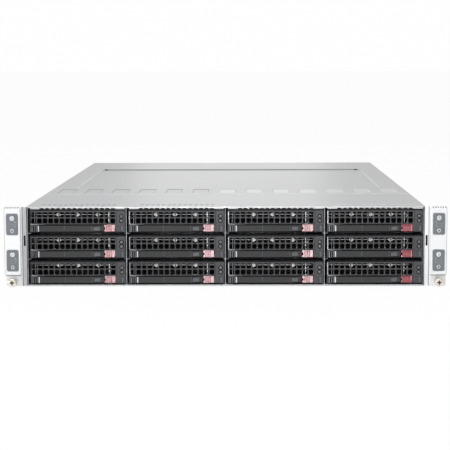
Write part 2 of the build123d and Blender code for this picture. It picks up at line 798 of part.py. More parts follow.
def write_front():
    """The twelve trays with their levers and buttons."""
    tray = drive_tray()
    lever = tray_lever()
    button = release_button()
    number = 0
    for row in range(ROWS):
        for column in range(COLUMNS):
            number += 1
            place = Pos(column_x(column), TRAY_Y, row_z(row))
            save(f"drive_tray_{number}", place * tray)
            save(f"tray_lever_{number}", place * lever)
            save(f"release_button_{number}", place * button)


def write_rear():
    """The four node sleds and the two power supplies."""
    sled = node_sled()
    supply = power_supply()
    left = -PAN_IN + SLED_FIT
    right = BAY_WALL + SHEET + SLED_FIT
    number = 0
    for level in range(2):
        z = SHEET + LEVEL_FIT + level * (LEVEL_H + SHELF_T)
        for x in (left, right):
            number += 1
            save(f"node_sled_{number}", Pos(x, SLED_Y, z) * sled)
        save(f"power_supply_{level + 1}", Pos(0, REAR - PSU_D, z) * supply)


def write_keys():
    """Power and identify keys, numbered from the left ear's upper panel."""
    y = FRONT - EAR_T - HOUSING_D - PANEL_PROUD
    number = 0
    for side in (-1, 1):
        for index in range(2):
            number += 1
            power, ident = key_places()[2 * index : 2 * index + 2]
            save(f"power_button_{number}", Pos(side * panel_x(), y, power[1]) * key(power[0]))
            save(f"id_button_{number}", Pos(side * panel_x(), y, ident[1]) * key(ident[0]))


def write_chassis():
    """Sheet metal, boards, fans, ears and thumbscrews."""
    save("base_pan", base_pan(), rear_frame())
    save("drive_cage", *drive_cage())
    save("front_cover", *front_cover())
    save("top_cover", *top_cover())
    save("circuit_boards", *backplane(), midplane())
    fans = [Pos(fan_x(index), FAN_Y, fan_z()) for index in range(COLUMNS)]
    save("fan_housings", *[place * fan_housing() for place in fans])
    save("fan_rotors", *[place * fan_rotor() for place in fans])
    save("rack_ears", *on_sides(ear_bracket()), *on_sides(ear_housing()))
    save("control_panels", *on_sides(control_panel(0)), *on_sides(control_panel(1)))
    save("thumbscrews", *on_sides(thumbscrew()))


os.makedirs("parts", exist_ok=True)
write_chassis()
write_front()
write_rear()
write_keys()
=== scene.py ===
# %% [markdown]
# A 2U rack server, dressed for its picture.
# The real object is a flat steel chassis, 19 inches wide, with twelve drive trays across the front.
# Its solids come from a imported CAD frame, which says where every part is and how it moves.
# This lesson keeps that frame and builds the skin over it: moulded grilles, pressed covers, printed marks and screws.
# Every helper works in millimetres, because that is how such a chassis is drawn.

# %% Load the frame
import json
import math
import random

import bmesh
import bpy
from mathutils import Matrix, Vector
from mathutils.geometry import tessellate_polygon


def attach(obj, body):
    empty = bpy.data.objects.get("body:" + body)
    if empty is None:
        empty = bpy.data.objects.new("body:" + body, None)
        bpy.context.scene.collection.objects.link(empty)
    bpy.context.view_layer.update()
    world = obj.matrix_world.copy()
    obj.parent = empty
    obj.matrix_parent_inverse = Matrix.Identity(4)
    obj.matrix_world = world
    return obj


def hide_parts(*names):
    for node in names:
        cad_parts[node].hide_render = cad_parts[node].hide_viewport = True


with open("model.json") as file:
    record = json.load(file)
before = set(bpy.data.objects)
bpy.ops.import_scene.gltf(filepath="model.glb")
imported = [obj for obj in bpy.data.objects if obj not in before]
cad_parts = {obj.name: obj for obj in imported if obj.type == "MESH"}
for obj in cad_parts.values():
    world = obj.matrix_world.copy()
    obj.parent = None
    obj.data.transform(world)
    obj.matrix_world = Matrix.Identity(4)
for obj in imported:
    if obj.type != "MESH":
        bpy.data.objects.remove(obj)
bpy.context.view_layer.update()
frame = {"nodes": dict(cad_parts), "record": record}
nodes = frame["nodes"]

# %% [markdown]
# A rack chassis is built from a few standard sizes: the 482.6 mm front, the 2U height and the drive bays.
# They are written once here, so that the pieces below can be placed from them.
# The alternative is to read each node's box.

# %% Sizes in millimetres
MM = 0.001
FRONT = -368.5
DEPTH = 724
REAR = FRONT + DEPTH
HIGH = 88
COVER_HALF = 217.6
INNER_HALF = 216.5
SEAM = 155
TRAY_W = 104.8
TRAY_H = 25.2
TRAY_Y = FRONT - 1
BAY_PITCH = 108.6
ROW_PITCH = 28.4
NOTCHES = 14
NOTCH_PITCH = 6
EAR_X = 241.3
EAR_MID = 232.55
SCREW_Z = 5.95
OVERLAY_LOW = (57.6, 17.7)
OVERLAY_H = 23.3
POWER_DROP = 5.1
IDENT_DROP = 18.9
BAY_LEFT = [column * BAY_PITCH - 214.4 for column in range(4)]
BAY_MIDDLE = [left + TRAY_W / 2 for left in BAY_LEFT]
WALL_X = [column * BAY_PITCH - 217.2 for column in (1, 2, 3)]
ROW_LOW = [2.4 + (2 - row) * ROW_PITCH for row in range(3)]
print("bays start at", BAY_LEFT, "rows at", ROW_LOW)

# %% [markdown]
# Sheet metal and moulded plastic are flat shapes with rounded corners and holes, given a thickness.
# A flat shape here is a list of (u, v) points, and "grown" moves its edge outwards or inwards.
# Growing a copy of each edge by a fraction of a millimetre is what makes the small bevels that catch light.

# %% Flat shapes
def arc(u, v, wide, tall, angles):
    """Points of an ellipse at the given angles, in degrees."""
    turns = [math.radians(angle) for angle in angles]
    return [(u + wide * math.cos(turn), v + tall * math.sin(turn)) for turn in turns]


def circle(u, v, radius, count=20):
    """A circle as a ring of points."""
    return arc(u, v, radius, radius, [k * 360 / count for k in range(count)])


def rect(u0, u1, v0, v1):
    """A rectangle with sharp corners, counter-clockwise."""
    return [(u0, v0), (u1, v0), (u1, v1), (u0, v1)]


def rounded(u0, u1, v0, v1, radius, steps=3):
    """A rectangle with round corners, counter-clockwise."""
    middles = ((u1 - radius, v1 - radius), (u0 + radius, v1 - radius), (u0 + radius, v0 + radius),
        (u1 - radius, v0 + radius))
    return [point for corner, (u, v) in enumerate(middles) for point in arc(u, v, radius, radius,
        [90 * corner + 90 * step / steps for step in range(steps + 1)])]


def grown(points, amount):
    """The same outline with each edge moved outwards by the amount."""
    count = len(points)
    result = []
    for index in range(count):
        before = Vector(points[index]) - Vector(points[index - 1])
        after = Vector(points[(index + 1) % count]) - Vector(points[index])
        first = Vector((before.y, -before.x)).normalized()
        second = Vector((after.y, -after.x)).normalized()
        lean = first + second
        lean /= max(lean.length_squared / 2, 0.2)
        result.append((points[index][0] + lean.x * amount, points[index][1] + lean.y * amount))
    return result


def sided(points, side):
    """An outline drawn for the right side (1), or its mirror image for the left side (-1)."""
    return [(side * u, v) for u, v in points][::side]


# %% [markdown]
# A piece can mix several finishes, such as a nickel screw head in grey sheet.
# The Maker below collects points and faces in millimetres and remembers the finish of each face.
# Joining many small forms into one mesh keeps the scene light, and the piece still moves as one body.

# %% A mesh maker
TURN = {"x": lambda u, v, w: (w, u, v), "y": lambda u, v, w: (u, w, v), "z": lambda u, v, w: (u, v, w)}


def bands(count, rings):
    """The quads that join each ring of count points to the next one."""
    return [(low + k, low + (k + 1) % count, low + count + (k + 1) % count, low + count + k)
        for low in range(0, (rings - 1) * count, count) for k in range(count)]


class Maker:
    """Collects plates, blocks and turned forms, then makes one mesh of them. Their y counts from start_y,
    which may be moved between two forms."""

    def __init__(self, start_y=0):
        self.start_y = start_y
        self.points = []
        self.faces = []
        self.marks = []
        self.finishes = []

    def add(self, points, faces, finish):
        base = len(self.points)
        self.points.extend([(x, y + self.start_y, z) for x, y, z in points])
        self.faces.extend([tuple(base + index for index in face) for face in faces])
        if finish not in self.finishes:
            self.finishes.append(finish)
        self.marks.extend([self.finishes.index(finish)] * len(faces))

    def layers(self, axis, loops, finish):
        """Skins rings of (u, v) points, each at its own height, and closes both ends."""
        count = len(loops[0][0])
        points = [TURN[axis](u, v, w) for ring, w in loops for u, v in ring]
        ends = [tuple(range(count)), tuple(range(len(points) - count, len(points)))]
        self.add(points, bands(count, len(loops)) + ends, finish)

    def drawn(self, outline, axis, low, high, finish, cut=0):
        """An outline drawn from low to high, with both ends bevelled by cut."""
        if cut:
            small = grown(outline, -cut)
            loops = [(small, low), (outline, low + cut), (outline, high - cut), (small, high)]
        else:
            loops = [(outline, low), (outline, high)]
        self.layers(axis, loops, finish)

    def block(self, x0, x1, y0, y1, z0, z1, finish, cut=0.25):
        """A box whose edges are all bevelled."""
        cut = min(cut, (x1 - x0) / 3, (y1 - y0) / 3, (z1 - z0) / 3)
        outline = [(x0 + cut, y0), (x1 - cut, y0), (x1, y0 + cut), (x1, y1 - cut), (x1 - cut, y1), (x0 + cut, y1),
            (x0, y1 - cut), (x0, y0 + cut)]
        inner = [(min(max(u, x0 + cut), x1 - cut), min(max(v, y0 + cut), y1 - cut)) for u, v in outline]
        self.layers("z", [(inner, z0), (outline, z0 + cut), (outline, z1 - cut), (inner, z1)], finish)

    def plate(self, outline, holes, axis, face, back, finish, cut=0.2):
        """A plate with holes. Its edges are bevelled on the face side."""
        cut_w = cut if back > face else -cut
        rings = [grown(outline, -cut)] + [grown(hole, cut) for hole in holes]
        edges = [outline] + holes
        for loops, w in ((rings, face), (edges, back)):
            flat = [[Vector((u, v, 0)) for u, v in loop] for loop in loops]
            points = [TURN[axis](u, v, w) for loop in loops for u, v in loop]
            self.add(points, tessellate_polygon(flat), finish)
        for ring, edge in zip(rings, edges):
            steps = ((ring, face), (edge, face + cut_w), (edge, back))
            points = [TURN[axis](u, v, w) for loop, w in steps for u, v in loop]
            self.add(points, bands(len(ring), 3), finish)

    def turned(self, profile, axis, u, v, finish, count=24):
        """A profile of (radius, height) points turned about an axis through (u, v)."""
        self.layers(axis, [(circle(u, v, max(radius, 0.001), count), w) for radius, w in profile], finish)

    def mesh(self, name):
        """The finished mesh, in metres, with smooth faces and sharp bevels."""
        shape = bpy.data.meshes.new(name)
        shape.from_pydata([[value * MM for value in point] for point in self.points], [], self.faces)
        for finish in self.finishes:
            shape.materials.append(finish)
        shape.polygons.foreach_set("material_index", self.marks)
        work = bmesh.new()
        work.from_mesh(shape)
        bmesh.ops.remove_doubles(work, verts=work.verts, dist=1e-7)
        bmesh.ops.recalc_face_normals(work, faces=work.faces)
        work.to_mesh(shape)
        work.free()
        shape.shade_smooth()
        shape.set_sharp_from_angle(angle=math.radians(32))
        return shape


def place(name, shape, body, replaces=(), at=(0, 0, 0)):
    """Puts a mesh, or what a maker holds, in the scene as a piece that rides on a body."""
    if isinstance(shape, Maker):
        shape = shape.mesh(name)
    thing = bpy.data.objects.new(name, shape)
    thing.location = Vector(at) * MM
    bpy.context.scene.collection.objects.link(thing)
    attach(thing, body)
    if replaces:
        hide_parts(*replaces)


# %% [markdown]
# Finishes come next. Real sheet and plastic are never one flat colour: plating clouds, brushing runs one way,
# moulded plastic has a fine grain, and handling polishes it unevenly.
# One recipe covers them: slow noise mixes two near colours, a second noise varies the roughness,
# and a fine one lifts the surface as bump. Values that don't vary stay on the shader's own sockets.

# %% A recipe for finishes
def node(tree, kind, **values):
    """A new shader node with its inputs set by name."""
    added = tree.nodes.new("ShaderNode" + kind)
    for name, value in values.items():
        added.inputs[name.replace("_", " ")].default_value = value
    return added


def join(source, out, target, into):
    """Links an output of one node to an input of another."""
    source.id_data.links.new(source.outputs[out], target.inputs[into])


def finish(name, dark, light, rough, metal=0, cloud=8, grain=900, bump=0.05, stretch=(1, 1, 1), coat=0,
        specular=0.5):
    """A procedural surface between two near colours."""
    surface = bpy.data.materials.new(name)
    surface.use_nodes = True
    tree = surface.node_tree
    shader = tree.nodes["Principled BSDF"]
    for socket, value in (("Metallic", metal), ("Coat Weight", coat), ("Coat Roughness", 0.12),
            ("Specular IOR Level", specular)):
        shader.inputs[socket].default_value = value
    where = node(tree, "TexCoord")
    spread = node(tree, "Mapping", Scale=stretch)
    slow = node(tree, "TexNoise", Scale=cloud, Detail=4)
    fine = node(tree, "TexNoise", Scale=grain, Detail=2)
    blend = tree.nodes.new("ShaderNodeMix")
    blend.data_type = "RGBA"
    blend.inputs["A"].default_value = (*dark, 1)
    blend.inputs["B"].default_value = (*light, 1)
    sheen = node(tree, "MapRange", To_Min=rough[0], To_Max=rough[1])
    lift = node(tree, "Bump", Strength=bump, Distance=0.0002)
    join(where, "Object", spread, "Vector")
    join(spread, "Vector", slow, "Vector")
    join(spread, "Vector", fine, "Vector")
    join(slow, "Fac", blend, "Factor")
    join(blend, "Result", shader, "Base Color")
    join(slow, "Fac", sheen, "Value")
    join(sheen, "Result", shader, "Roughness")
    join(fine, "Fac", lift, "Height")
    join(lift, "Normal", shader, "Normal")
    return surface


# %% The finishes of this server
brushed = dict(metal=0.7, cloud=4, grain=420, stretch=(1, 5, 1))
cover_steel = finish("cover_steel", (0.47, 0.47, 0.465), (0.54, 0.54, 0.54), (0.32, 0.42), **brushed)
# painted reflection: a paler steel for the six right-hand pressings, standing in for the light they reflect
painted_reflection_steel = finish("painted_reflection_steel", (0.56, 0.56, 0.56), (0.63, 0.63, 0.63), (0.30, 0.38), **brushed)
# painted shade: a darker steel for steps, slopes and edges that lie in shade
painted_shade_steel = finish("painted_shade_steel", (0.27, 0.27, 0.28), (0.34, 0.34, 0.35), (0.45, 0.55), metal=0.5, cloud=30,
    grain=420)
zinc = finish("zinc_steel", (0.40, 0.41, 0.42), (0.55, 0.56, 0.57), (0.32, 0.48), metal=0.75, cloud=60, grain=300,
    bump=0.06)
# painted shade: this dark steel stands in for the shade in recesses, gaps and the drive bays
dark_steel = finish("shaded_steel", (0.16, 0.165, 0.17), (0.24, 0.245, 0.25), (0.4, 0.55), metal=0.6, cloud=40,
    grain=500)
ear_silver = finish("ear_silver", (0.84, 0.84, 0.845), (0.90, 0.90, 0.905), (0.36, 0.44), cloud=12, grain=700,
    bump=0.04)
tray_black = finish("tray_black", (0.022, 0.022, 0.025), (0.034, 0.034, 0.038), (0.34, 0.44), cloud=25, grain=1600,
    bump=0.12, coat=0.6)
lever_black = finish("lever_black", (0.008, 0.008, 0.009), (0.014, 0.014, 0.016), (0.16, 0.24), cloud=18,
    grain=1300, bump=0.03, coat=0.45)
# painted shade: a near-black with little shine for gaps, holes, slits and hollows that lie in shade
painted_shade_black = finish("painted_shade_black", (0.004, 0.004, 0.004), (0.007, 0.007, 0.008), (0.6, 0.7), cloud=18, grain=1300,
    specular=0.12)
block_black = finish("block_black", (0.040, 0.040, 0.044), (0.056, 0.056, 0.061), (0.26, 0.36), cloud=25,
    grain=1600, bump=0.06, coat=0.3)
release_red = finish("release_red", (0.29, 0.055, 0.07), (0.37, 0.085, 0.10), (0.15, 0.19), cloud=30, grain=1200,
    bump=0.02, coat=0.4)
lens_smoke = finish("lens_smoke", (0.09, 0.093, 0.10), (0.14, 0.143, 0.15), (0.1, 0.16), cloud=60, bump=0.01,
    coat=1)
# painted highlight: a bright steel on the plastic rims and ribs where light catches them, and a glint behind the
# grille
painted_highlight_steel = finish("painted_highlight_steel", (0.50, 0.52, 0.57), (0.62, 0.64, 0.69), (0.16, 0.24), metal=0.95, cloud=40,
    bump=0.02)
# painted highlight: a paler grey for lit seams, a scoop and a strip on the black trays
painted_highlight_grey = finish("painted_highlight_grey", (0.10, 0.10, 0.105), (0.14, 0.14, 0.15), (0.3, 0.4), cloud=40, grain=1200)
# real bright steel for bars, latches and small parts, also used as a painted highlight on each lever's left end
bright_steel_and_highlight = finish("bright_steel_and_highlight", (0.66, 0.66, 0.65), (0.78, 0.78, 0.77), (0.16, 0.24), metal=1, cloud=40, grain=300)
panel_grey = finish("panel_grey", (0.155, 0.168, 0.182), (0.19, 0.204, 0.22), (0.42, 0.5), cloud=20, grain=1500)
key_white = finish("key_white", (0.78, 0.78, 0.79), (0.88, 0.88, 0.89), (0.3, 0.38), cloud=30, bump=0.02, coat=0.3)
mark_white = finish("mark_white", (0.62, 0.63, 0.64), (0.74, 0.75, 0.76), (0.5, 0.6), cloud=30, bump=0.02)
mark_faint = finish("mark_faint", (0.34, 0.35, 0.36), (0.42, 0.43, 0.44), (0.5, 0.6), cloud=30, bump=0.02)
screw_nickel = finish("screw_nickel", (0.72, 0.66, 0.56), (0.86, 0.80, 0.70), (0.24, 0.36), metal=0.7, cloud=90,
    grain=500)
steel_screw = finish("steel_screw", (0.45, 0.45, 0.46), (0.62, 0.62, 0.63), (0.25, 0.35), metal=0.85, cloud=120,
    grain=500)
drive_metal = finish("drive_metal", (0.42, 0.43, 0.44), (0.56, 0.57, 0.58), (0.3, 0.42), metal=0.8, cloud=50,
    grain=300, bump=0.08)
board_green = finish("board_green", (0.012, 0.075, 0.035), (0.02, 0.11, 0.05), (0.3, 0.42), cloud=120, grain=700,
    bump=0.12, coat=0.4)
contact_gold = finish("contact_gold", (0.62, 0.44, 0.16), (0.78, 0.58, 0.24), (0.22, 0.32), metal=1, cloud=90,
    grain=500)
port_blue = finish("port_blue", (0.03, 0.07, 0.24), (0.05, 0.10, 0.32), (0.35, 0.45), cloud=60)
print("finishes:", len(bpy.data.materials))

# %% [markdown]
# The camera stands where the photographer's did. Its place and lens were worked out from the corners of the
# chassis, whose real sizes are known: about 1.6 m in front of it, a little above, looking slightly down.
# Guessing by eye would never line up both the long top cover and the front, so the numbers are kept as measured.

# %% The camera
PHOTO_PX = 450
FOCAL_PX = 1464.6
SENSOR_MM = 36
CAMERA_AT = (0.0242, -1.9625, 0.2406)
YAW = math.radians(0.878)
PITCH = math.radians(6.201)
ROLL = math.radians(-0.177)
ahead = Vector((-math.sin(YAW) * math.cos(PITCH), math.cos(YAW) * math.cos(PITCH), -math.sin(PITCH)))
right = Vector((math.cos(YAW), math.sin(YAW), 0))
above = right.cross(ahead)
tilted_right = right * math.cos(ROLL) + above * math.sin(ROLL)
tilted_up = above * math.cos(ROLL) - right * math.sin(ROLL)
lens = bpy.data.cameras.new("photo_camera")
lens.sensor_width = SENSOR_MM
lens.lens = SENSOR_MM * FOCAL_PX / PHOTO_PX
lens.clip_end = 100
viewer = bpy.data.objects.new("photo_camera", lens)
aimed = Matrix((tilted_right, tilted_up, -ahead)).transposed()
viewer.matrix_world = Matrix.Translation(CAMERA_AT) @ aimed.to_4x4()
bpy.context.scene.collection.objects.link(viewer)
bpy.context.scene.camera = viewer
print("lens", round(lens.lens, 1), "mm")

# %% [markdown]
# Product photographs of computers are lit by big soft boxes on white. A pale world gives the even base light,
# and seven area lamps shape it: large ones overhead and over the front, smaller ones at the sides and low in
# front, which pick out the edges, and a faint one behind.
# The floor shows as white to the camera but still takes the shadow.

# %% Studio light and floor
scene = bpy.context.scene
scene.view_settings.view_transform = "Standard"
world = bpy.data.worlds.new("studio")
scene.world = world
world.use_nodes = True
sky = world.node_tree
soft = sky.nodes["Background"]
soft.inputs["Color"].default_value = (0.98, 0.985, 1, 1)
way = node(sky, "TexCoord")
split = node(sky, "SeparateXYZ")
level = node(sky, "MapRange", From_Min=-0.2, From_Max=0.9, To_Min=0.28, To_Max=0.86)
white = node(sky, "Background", Color=(1, 1, 1, 1), Strength=0.995)
rays = node(sky, "LightPath")
choose = node(sky, "MixShader")
join(way, "Generated", split, "Vector")
join(split, "Y", level, "Value")
join(level, "Result", soft, "Strength")
join(rays, "Is Camera Ray", choose, "Fac")
join(soft, "Background", choose, 1)
join(white, "Background", choose, 2)
join(choose, "Shader", sky.nodes["World Output"], "Surface")


def softbox(name, place_at, aim, size, power, colour=(1, 1, 1)):
    """A rectangular lamp aimed at a point."""
    lamp = bpy.data.lights.new(name, "AREA")
    lamp.shape = "RECTANGLE"
    lamp.size, lamp.size_y = size
    lamp.energy = power
    lamp.color = colour
    thing = bpy.data.objects.new(name, lamp)
    thing.location = place_at
    thing.rotation_euler = (Vector(aim) - Vector(place_at)).to_track_quat("-Z", "Y").to_euler()
    scene.collection.objects.link(thing)


softbox("overhead", (0, -0.2, 1.8), (0, 0, 0), (2.4, 1.6), 13)
softbox("front_top", (-0.2, -1.5, 1.5), (0, -0.35, 0.05), (1.8, 0.5), 7)
softbox("front_left", (-1.6, -1.9, 0.7), (0, -0.35, 0.05), (0.45, 0.5), 6)
softbox("front_right", (1.8, -1.7, 0.9), (0, -0.35, 0.05), (0.9, 0.9), 4.5, (0.94, 0.97, 1))
softbox("far_left", (-2.2, -0.72, 0.2), (0.05, -0.37, 0.04), (0.7, 0.35), 14)
softbox("rear", (-0.03, 2.6, 0.5), (0, 0, 0.08), (0.6, 0.5), 0.8)
softbox("front_low", (-0.03, -1.73, 0.31), (-0.02, -0.37, 0.06), (0.52, 0.2), 4.8, (0.92, 0.97, 1))

floor_maker = bpy.data.meshes.new("studio_floor")
floor_maker.from_pydata([(-30, -10, 0), (30, -10, 0), (30, 60, 0), (-30, 60, 0)], [], [(0, 1, 2, 3)])
floor = bpy.data.objects.new("studio_floor", floor_maker)
scene.collection.objects.link(floor)
paper = bpy.data.materials.new("white_paper")
paper.use_nodes = True
tree = paper.node_tree
body = tree.nodes["Principled BSDF"]
body.inputs["Base Color"].default_value = (0.92, 0.92, 0.92, 1)
body.inputs["Roughness"].default_value = 0.9
glow = node(tree, "Emission", Color=(1, 1, 1, 1), Strength=1)
seen = node(tree, "LightPath")
shiny = node(tree, "Math")
shiny.operation = "MAXIMUM"
share = node(tree, "Math")
share.operation = "MULTIPLY"
share.inputs[1].default_value = 0.95
mixed = node(tree, "MixShader")
join(seen, "Is Camera Ray", shiny, 0)
join(seen, "Is Glossy Ray", shiny, 1)
join(shiny, "Value", share, 0)
join(share, "Value", mixed, "Fac")
join(body, "BSDF", mixed, 1)
join(glow, "Emission", mixed, 2)
join(mixed, "Shader", tree.nodes["Material Output"], "Surface")
floor_maker.materials.append(paper)

# %% [markdown]
# The front cover is a folded sheet. Its front edge turns down in a round lip, and the lip's lower edge is cut
# into a comb: round notches with pointed teeth between them, fourteen to a bay, which ground the trays.
# Behind the edge runs a row of short slots over each bay. Their collars carry painted light: dark ones on the left
# half are painted shade and pale ones on the right a painted highlight. Flat plates with true holes show all of this
# from any side, which a painted pattern would not.

# %% The front cover
LATCH_XY = (137, 59)


def cover_sides(maker, y0, y1):
    """The folded side edges of a cover, with a small bend radius."""
    for side in (-1, 1):
        bend = [(217.6, 87), (218, 86.6), (218, 76), (219, 76), (219, 86.6), (218.82, 87.35), (218.35, 87.82),
            (217.6, 88)]
        maker.drawn(sided(bend, side), "y", y0, y1, cover_steel)


def screw_head(maker, axis, u, v, face, out, radius, slot_depth=0.5):
    """A flat screw head with a cross cut. "out" is the way it faces, 1 or -1."""
    rim = circle(u, v, radius, 20)
    arm, half = radius * 0.62, radius * 0.14
    cross = [(arm, -half), (arm, half), (half, half)]
    for quarter in range(3):
        cross += [(-b, a) for a, b in cross[-3:]]
    cross = [(u + a, v + b) for a, b in cross]
    maker.plate(rim, [cross], axis, face + out * 0.5, face, steel_screw, 0.18)
    # the floor of the cross is in dark steel: painted shade in the recess
    maker.plate(rim, [], axis, face + out * (0.5 - slot_depth + 0.05), face, dark_steel, 0.02)


def notches(middle):
    """Where the comb's notches stand along a bay, and the slots above them."""
    return [middle + (k - (NOTCHES - 1) / 2) * NOTCH_PITCH for k in range(NOTCHES)]


front = Maker(FRONT)
slots = [rounded(x - 1.9, x + 1.9, 16.7, 20.5, 0.9, 2) for middle in BAY_MIDDLE for x in notches(middle)]
slots.append(circle(*LATCH_XY, 1.5, 14))
front.plate(rect(-COVER_HALF, COVER_HALF, 0.9, SEAM - 3.6), slots, "z", HIGH, HIGH - 1, cover_steel, 0.03)
# the collars carry painted light: black ones on the left half are painted shade, white ones on the right half a
# painted highlight
for number, slot in enumerate(slots[:4 * NOTCHES]):
    gap, painted_light_collar = (0.03, painted_shade_black) if number < 2 * NOTCHES else (0.02, key_white)
    front.plate(grown(slot, 0.15), [grown(slot, -0.15)], "z", HIGH - gap, HIGH - 1.1, painted_light_collar, 0)
# the darker step under the seam is painted shade
front.drawn([(SEAM - 3.8, HIGH - 0.1), (SEAM - 3, HIGH - 0.8), (SEAM + 0.6, HIGH - 0.8), (SEAM + 0.6, HIGH - 1.5),
    (SEAM - 3.8, HIGH - 1)], "x", -COVER_HALF, COVER_HALF, painted_shade_steel)
cover_sides(front, 0, SEAM - 0.6)
lip = [(0.9, 87), (0.9, 88), (0.45, 87.9), (0.12, 87.6), (0, 87.1), (0, 86.4), (0.7, 86.4), (0.7, 86.9)]
front.drawn(lip, "x", -COVER_HALF, COVER_HALF, cover_steel)
for left, middle in zip(BAY_LEFT, BAY_MIDDLE):
    edge = [(left + 0.5, 86.6), (left + 0.5, 85), (middle - 42.4, 85)]
    for centre in notches(middle):
        edge.extend(arc(centre, 85.1, 2.35, 1.35, range(180, -1, -30)))
        edge.append((centre + 3, 85))
    edge.extend([(left + TRAY_W - 0.5, 85), (left + TRAY_W - 0.5, 86.6)])
    front.drawn(edge, "y", 0.1, 0.7, cover_steel)
latch = [(0, HIGH - 0.9), (1.4, HIGH - 0.9), (1.4, HIGH - 0.6), (0.7, HIGH - 0.2), (0, HIGH - 0.1)]
front.turned(latch, "z", *LATCH_XY, bright_steel_and_highlight, 16)
for x in (-109.5, 109.5):
    screw_head(front, "z", x, SEAM - 7.2, HIGH - 0.75, 1, 2.6)
for x in WALL_X:
    front.block(x - 0.2, x + 0.45, 0.3, 1.25, 1.1, 86.3, zinc, 0.15)
place("front_cover_sheet", front, "chassis", ["front_cover"])
print("front cover slots:", len(slots))

# %% [markdown]
# The lift-off cover is pressed so that the large sheet doesn't drum: one wide sunken panel with sloping edges,
# and thirteen small rectangles in a row near the seam. A pressing is three rings, the rim, the slope and the
# floor, dropped into a hole of the flat plate. Modelling the slope matters, for it is all the light picks out.
# Some light is painted as well: a dark ring round the six left-hand pressings, the darker rear wall of the panel
# and dark ellipses at its rear corners are painted shade, the paler steel of the six right-hand pressings is a
# painted reflection, and the white front edge at the seam is a painted highlight.

# %% The lift-off cover
def pressing(maker, outline, depth, slope, finish):
    """A sunken area with sloping edges, one sheet thick."""
    rim = grown(outline, 0.05)
    foot = grown(outline, -slope)
    maker.layers("z", [(foot, HIGH - depth), (grown(outline, -slope * 0.12), HIGH - depth * 0.06), (rim, HIGH),
        (rim, HIGH - 0.9), (foot, HIGH - depth - 0.9)], finish)


lid = Maker(FRONT)
MARK_PITCH = 32.75
MARKS_EACH_SIDE = 6
RECESS_END = 580
recess = rounded(-190.5, 190.5, 229, RECESS_END, 7, 5)
mark_x = [k * MARK_PITCH for k in range(-MARKS_EACH_SIDE, MARKS_EACH_SIDE + 1)]
marks = [rounded(x - 9.7, x + 9.7, 169, 224, 2.2, 3) for x in mark_x]
lid.plate(rect(-COVER_HALF, COVER_HALF, SEAM + 0.9, DEPTH), [recess] + marks, "z", HIGH, HIGH - 1, cover_steel, 0.3)
pressing(lid, recess, 1.5, 0.9, cover_steel)
# round each left-hand pressing, a flat ring in darker steel is painted shade
for mark in marks[:MARKS_EACH_SIDE]:
    pressing(lid, mark, 0.5, 0.5, cover_steel)
    lid.plate(mark, [grown(mark, -0.6)], "z", HIGH - 0.12, HIGH - 0.7, painted_shade_steel, 0)
# the right-hand pressings are in a paler steel: a painted reflection
for mark in marks[MARKS_EACH_SIDE:]:
    pressing(lid, mark, 0.4, 0.5, painted_reflection_steel)
# the darker strip on the rear wall of the panel is painted shade
lid.drawn([(RECESS_END - 1, HIGH - 1.46), (RECESS_END - 0.2, HIGH - 0.1), (RECESS_END - 0.05, HIGH - 0.3),
    (RECESS_END - 0.85, HIGH - 1.6)], "x", -184, 184, painted_shade_steel)
# the dark ellipses at the panel's rear corners stand for notches; their near-black is painted shade
for x in (-186, 186):
    lid.drawn(arc(x, HIGH - 0.8, 3.4, 0.72, [22.5 * k for k in range(16)]), "y", RECESS_END - 1.6, RECESS_END - 0.6,
        painted_shade_black)
# the white strip on the lift-off cover's front edge is a painted highlight
lid.block(-217.4, 217.4, SEAM + 0.7, SEAM + 1.4, HIGH - 0.75, HIGH - 0.01, ear_silver, 0.08)
cover_sides(lid, SEAM + 0.9, DEPTH)
place("lift_off_cover", lid, "cover", ["top_cover"])
print("pressings:", len(marks) + 1)

# %% [markdown]
# Each drive tray has a moulded front. The grille is a raised panel with thirty round-cornered holes, and the
# channel under it holds the lever. The same tray is used twelve times, so its mesh is built once and shared:
# twelve copies of one mesh cost little, and a change to one is a change to all.
# Its own frame starts at the bezel's lower left front corner: x across, y inwards, z up.

# %% The tray front
HOLE_COLUMNS = 15
HOLE_PITCH = 6.2


